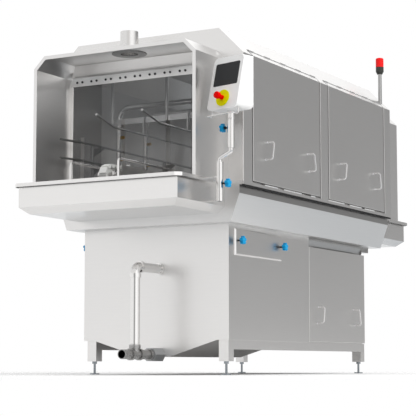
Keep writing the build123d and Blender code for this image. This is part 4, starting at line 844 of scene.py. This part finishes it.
class WASHER_OT_machinery(bpy.types.Operator):
    """Chain, sprockets, pump, gearmotor, valve and nozzles"""

    bl_idname = "washer.machinery"
    bl_label = "Machinery"

    def execute(self, context):
        look = context.scene.washer_finish
        dress(moulded("conveyor_white", look.chain, roughness=0.4), *CHAIN_NODES)
        dress(cast_metal("pump_casting", look.pump, roughness=0.5), "wash_pump")
        dress(coated("motor_grey", look.motor, roughness=0.4), "gearmotor")
        dress(drawn_tube("valve_steel", look.valve, roughness=0.3), "drain_valve")
        dress(turned_brass("nozzle_brass", look.brass, roughness=0.22), "spray_nozzles")
        return {"FINISHED"}


class WASHER_OT_strips(bpy.types.Operator):
    """Smoky clear strips of the curtains"""

    bl_idname = "washer.strips"
    bl_label = "Strip curtains"

    def execute(self, context):
        look = context.scene.washer_finish
        clear = clear_strip("clear_strip", look.strip, roughness=0.08, opacity=look.strip_opacity)
        side_tint = shade(look.strip, SIDE_STRIP_SHADE)
        smoky = clear_strip("smoky_strip", side_tint, roughness=0.08, opacity=look.side_opacity)
        dress(clear, *STRIP_NODES)
        dress(smoky, "infeed_curtain_sides")
        return {"FINISHED"}


class WASHER_OT_bolts(bpy.types.Operator):
    """Button-head bolts that clamp the curtain strips"""

    bl_idname = "washer.bolts"
    bl_label = "Curtain bolts"

    def execute(self, context):
        fit = context.scene.washer_fittings
        low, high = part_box("curtain_rails")
        finish = drawn_tube("bolt_steel", context.scene.washer_finish.bolt, roughness=0.25)
        for name, y, way in (("infeed_bolts", low[1], -1.0), ("outfeed_bolts", high[1], 1.0)):
            shape = bmesh.new()
            for index in range(fit.strips):
                middle = (index - (fit.strips - 1) / 2) * fit.strip_pitch
                for side in (-0.5, 0.5):
                    place = (middle + side * fit.bolt_pair, y, fit.bolt_z)
                    button_head(shape, place, (0.0, way, 0.0), fit.bolt_radius, fit.bolt_height)
            piece(name, shape, finish, "frame")
        return {"FINISHED"}


class WASHER_OT_collars(bpy.types.Operator):
    """Weld fillets at the feet of the bow handles"""

    bl_idname = "washer.collars"
    bl_label = "Handle welds"

    def execute(self, context):
        fit = context.scene.washer_fittings
        finish = drawn_tube("weld_steel", context.scene.washer_finish.weld, roughness=0.35)
        for node, body in BOW_BODIES.items():
            low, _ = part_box(node)
            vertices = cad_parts[node].data.vertices
            feet = [vertex.co for vertex in vertices if vertex.co.x < low[0] + FOOT_DEPTH]
            shape = bmesh.new()
            for foot in self.clusters(feet, FOOT_REACH * fit.bow_radius):
                weld_collar(shape, foot, (1.0, 0.0, 0.0), fit.bow_radius, fit.collar_height)
            piece(node + "_welds", shape, finish, body)
        return {"FINISHED"}

    @staticmethod
    def clusters(points, reach):
        """Middles of groups of points that lie close together."""
        groups = []
        for point in points:
            near = [group for group in groups if (group[0] - point).length < reach]
            if near:
                near[0].append(point)
            else:
                groups.append([point])
        return [Vector([(min(axis) + max(axis)) / 2 for axis in zip(*group)]) for group in groups]


class WASHER_OT_seal_shade_strips(bpy.types.Operator):
    """Dark strips under the lips of the tunnel base, shaped as rubber seals: painted shade of the overhang
    """

    bl_idname = "washer.seals"
    bl_label = "Lip seals"

    def execute(self, context):
        fit = context.scene.washer_fittings
        low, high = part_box("tunnel_base")
        # Painted shade: these black strips, shaped as rubber seals, stand in for the shade under the lips.
        finish = moulded("seal_shade_rubber", context.scene.washer_finish.seal_shade, roughness=0.6, gloss=0.2)
        size = Matrix.Diagonal((fit.seal_width, high[1] - low[1], fit.seal_height, 1.0))
        z = high[2] - fit.lip_height - fit.seal_height / 2
        shape = bmesh.new()
        for edge, way in ((low[0], 1.0), (high[0], -1.0)):
            x = edge + way * (fit.seal_inset + fit.seal_width / 2)
            bmesh.ops.create_cube(shape, size=1.0, matrix=Matrix.Translation((x, 0.0, z)) @ size)
        piece("lip_seal_shade_strips", shape, finish, "frame")
        return {"FINISHED"}


class WASHER_OT_stage(bpy.types.Operator):
    """Pale floor, soft light and the camera"""

    bl_idname = "washer.stage"
    bl_label = "Stage"

    def execute(self, context):
        stage = context.scene.washer_stage
        self.floor(stage)
        self.sky(context.scene)
        self.lights(context.scene, stage)
        self.camera(context.scene, stage)
        context.scene.view_settings.view_transform = "Standard"
        return {"FINISHED"}

    @staticmethod
    def floor(stage):
        """Pale floor that fades into the white surroundings."""
        finish, net = material("pale_floor")
        cloud = net.noise(FLOOR_CLOUD)
        reach = net.node(
            "ShaderNodeVectorMath", {"operation": "LENGTH"}, {0: net.coordinates()}, output="Value",
        )
        whole, gone = [share * stage.floor for share in FLOOR_FADE]
        net.surface(
            Base_Color=net.blend(cloud, *map(grey, FLOOR_TONES)),
            Roughness=FLOOR_DULLNESS + cloud * FLOOR_ROUGHNESS,
            Specular_IOR_Level=0.0,
            Alpha=net.rise(reach, gone, whole),
        )
        shape = bmesh.new()
        bmesh.ops.create_grid(shape, x_segments=1, y_segments=1, size=stage.floor)
        made = mesh_object("floor", shape, finish)

    @staticmethod
    def sky(scene):
        """White surroundings that steel mirrors as grey, dark and bright fields; soft light from above."""
        scene.world = bpy.data.worlds.new("studio")
        scene.world.use_nodes = True
        net = Net(scene.world.node_tree)
        direction = net.node("ShaderNodeTexCoord", output="Generated")
        up = net.dot(direction, UP)

        def turn(before, after, start, end):
            """Colour that turns from before to after between two heights of the sky."""
            return net.blend(net.rise(up, start, end), before, after)

        mirrored = turn(grey(1.07), grey(0.90), start=0.06, end=0.24)
        door_tone = turn(grey(0.56), grey(0.335), start=-0.08, end=0.14)
        wall_tone = turn(grey(0.40), (1.0, 0.98, 0.96), start=0.11, end=0.20)
        # Each field by the direction of its middle and the cosines from it at its rim and where it is full.
        for middle, rim, full, tone in (
            ((-0.20, 0.885, 0.42), 0.80, 0.95, grey(1.5)),
            ((0.50, 0.80, 0.33), 0.76, 0.92, door_tone),
            ((0.407, -0.913, 0.06), 0.885, 0.965, wall_tone),
            ((0.906, -0.423, 0.05), 0.82, 0.95, grey(1.3)),
        ):
            mirrored = net.blend(net.rise(net.dot(direction, middle), rim, full), mirrored, tone)
        mirrored = turn(mirrored, (0.60, 0.63, 0.655), start=-0.05, end=-0.20)
        spread = turn(grey(0.10), grey(1.55), start=0.0, end=1.0)
        spread = turn(spread, grey(0.5), start=-0.02, end=-0.10)
        scattered = net.node("ShaderNodeLightPath", output="Diffuse Depth")
        seen = net.node("ShaderNodeLightPath", output="Is Camera Ray")
        glow = net.blend(seen, net.blend(scattered, mirrored, spread), grey(1.0))
        light = net.node("ShaderNodeBackground", {}, {"Color": glow, "Strength": 1.0})
        net.node("ShaderNodeOutputWorld", {}, {"Surface": light})

    @staticmethod
    def lights(scene, stage):
        """Soft light from the right, and small lights that brighten the tunnel and the infeed hood."""
        for name, place, aim, size, power, mirrored in (
            ("key_light", (7.4, -1.3, 4.5), (0.0, 0.0, 1.2), (4.0, 4.0), stage.key, False),
            ("inner_light", (0.25, -0.35, 1.86), (0.25, -0.35, 0.0), (0.4, 0.4), stage.inner, True),
            ("hood_light", (0.0, -1.095, 1.79), (0.0, -2.0, 1.79), (1.0, 0.06), stage.hood, True),
            ("baffle_light", (-0.05, -1.25, 1.53), (0.0, -1.10, 1.80), (0.9, 0.26), stage.baffle, True),
        ):
            lamp = bpy.data.lights.new(name, "AREA")
            lamp.shape = "RECTANGLE"
            lamp.size, lamp.size_y = size
            lamp.energy = power
            made = bpy.data.objects.new(name, lamp)
            scene.collection.objects.link(made)
            made.location = place
            made.rotation_euler = (Vector(aim) - Vector(place)).to_track_quat("-Z", "Y").to_euler()
            made.visible_camera = False
            made.visible_glossy = mirrored

    @staticmethod
    def camera(scene, stage):
        """Camera at the photograph's place and angle."""
        data = bpy.data.cameras.new("camera")
        data.sensor_width = SENSOR_WIDTH
        data.lens = stage.lens
        data.clip_end = CAMERA_REACH
        made = bpy.data.objects.new("camera", data)
        scene.collection.objects.link(made)
        made.location = stage.camera
        made.rotation_euler = (math.pi / 2 + stage.lift, 0.0, stage.turn)
        scene.camera = made


class WASHER_PT_panel(bpy.types.Panel):
    """Washer pieces and settings"""

    bl_idname = "WASHER_PT_panel"
    bl_label = "Crate tunnel washer"
    bl_space_type = "VIEW_3D"
    bl_region_type = "UI"
    bl_category = "Washer"

    def draw(self, context):
        for operator in OPERATORS:
            self.layout.operator(operator.bl_idname)
        for name, kind in GROUPS.items():
            column = self.layout.column()
            for setting in kind.__annotations__:
                column.prop(getattr(context.scene, name), setting)


OPERATORS = (
    WASHER_OT_sheets, WASHER_OT_tubes, WASHER_OT_controls, WASHER_OT_machinery, WASHER_OT_strips,
    WASHER_OT_bolts, WASHER_OT_collars, WASHER_OT_seal_shade_strips, WASHER_OT_stage,
)
GROUPS = {
    "washer_finish": WasherFinish, "washer_fittings": WasherFittings, "washer_stage": WasherStage,
}


def register():
    for kind in (*GROUPS.values(), *OPERATORS, WASHER_PT_panel):
        bpy.utils.register_class(kind)
    for name, kind in GROUPS.items():
        setattr(bpy.types.Scene, name, PointerProperty(type=kind))


def unregister():
    for name in GROUPS:
        delattr(bpy.types.Scene, name)
    for kind in (WASHER_PT_panel, *reversed(OPERATORS), *reversed(GROUPS.values())):
        bpy.utils.unregister_class(kind)


def main():
    register()
    for operator in OPERATORS:
        group, name = operator.bl_idname.split(".")
        getattr(getattr(bpy.ops, group), name)()


if __name__ == "__main__":
    main()
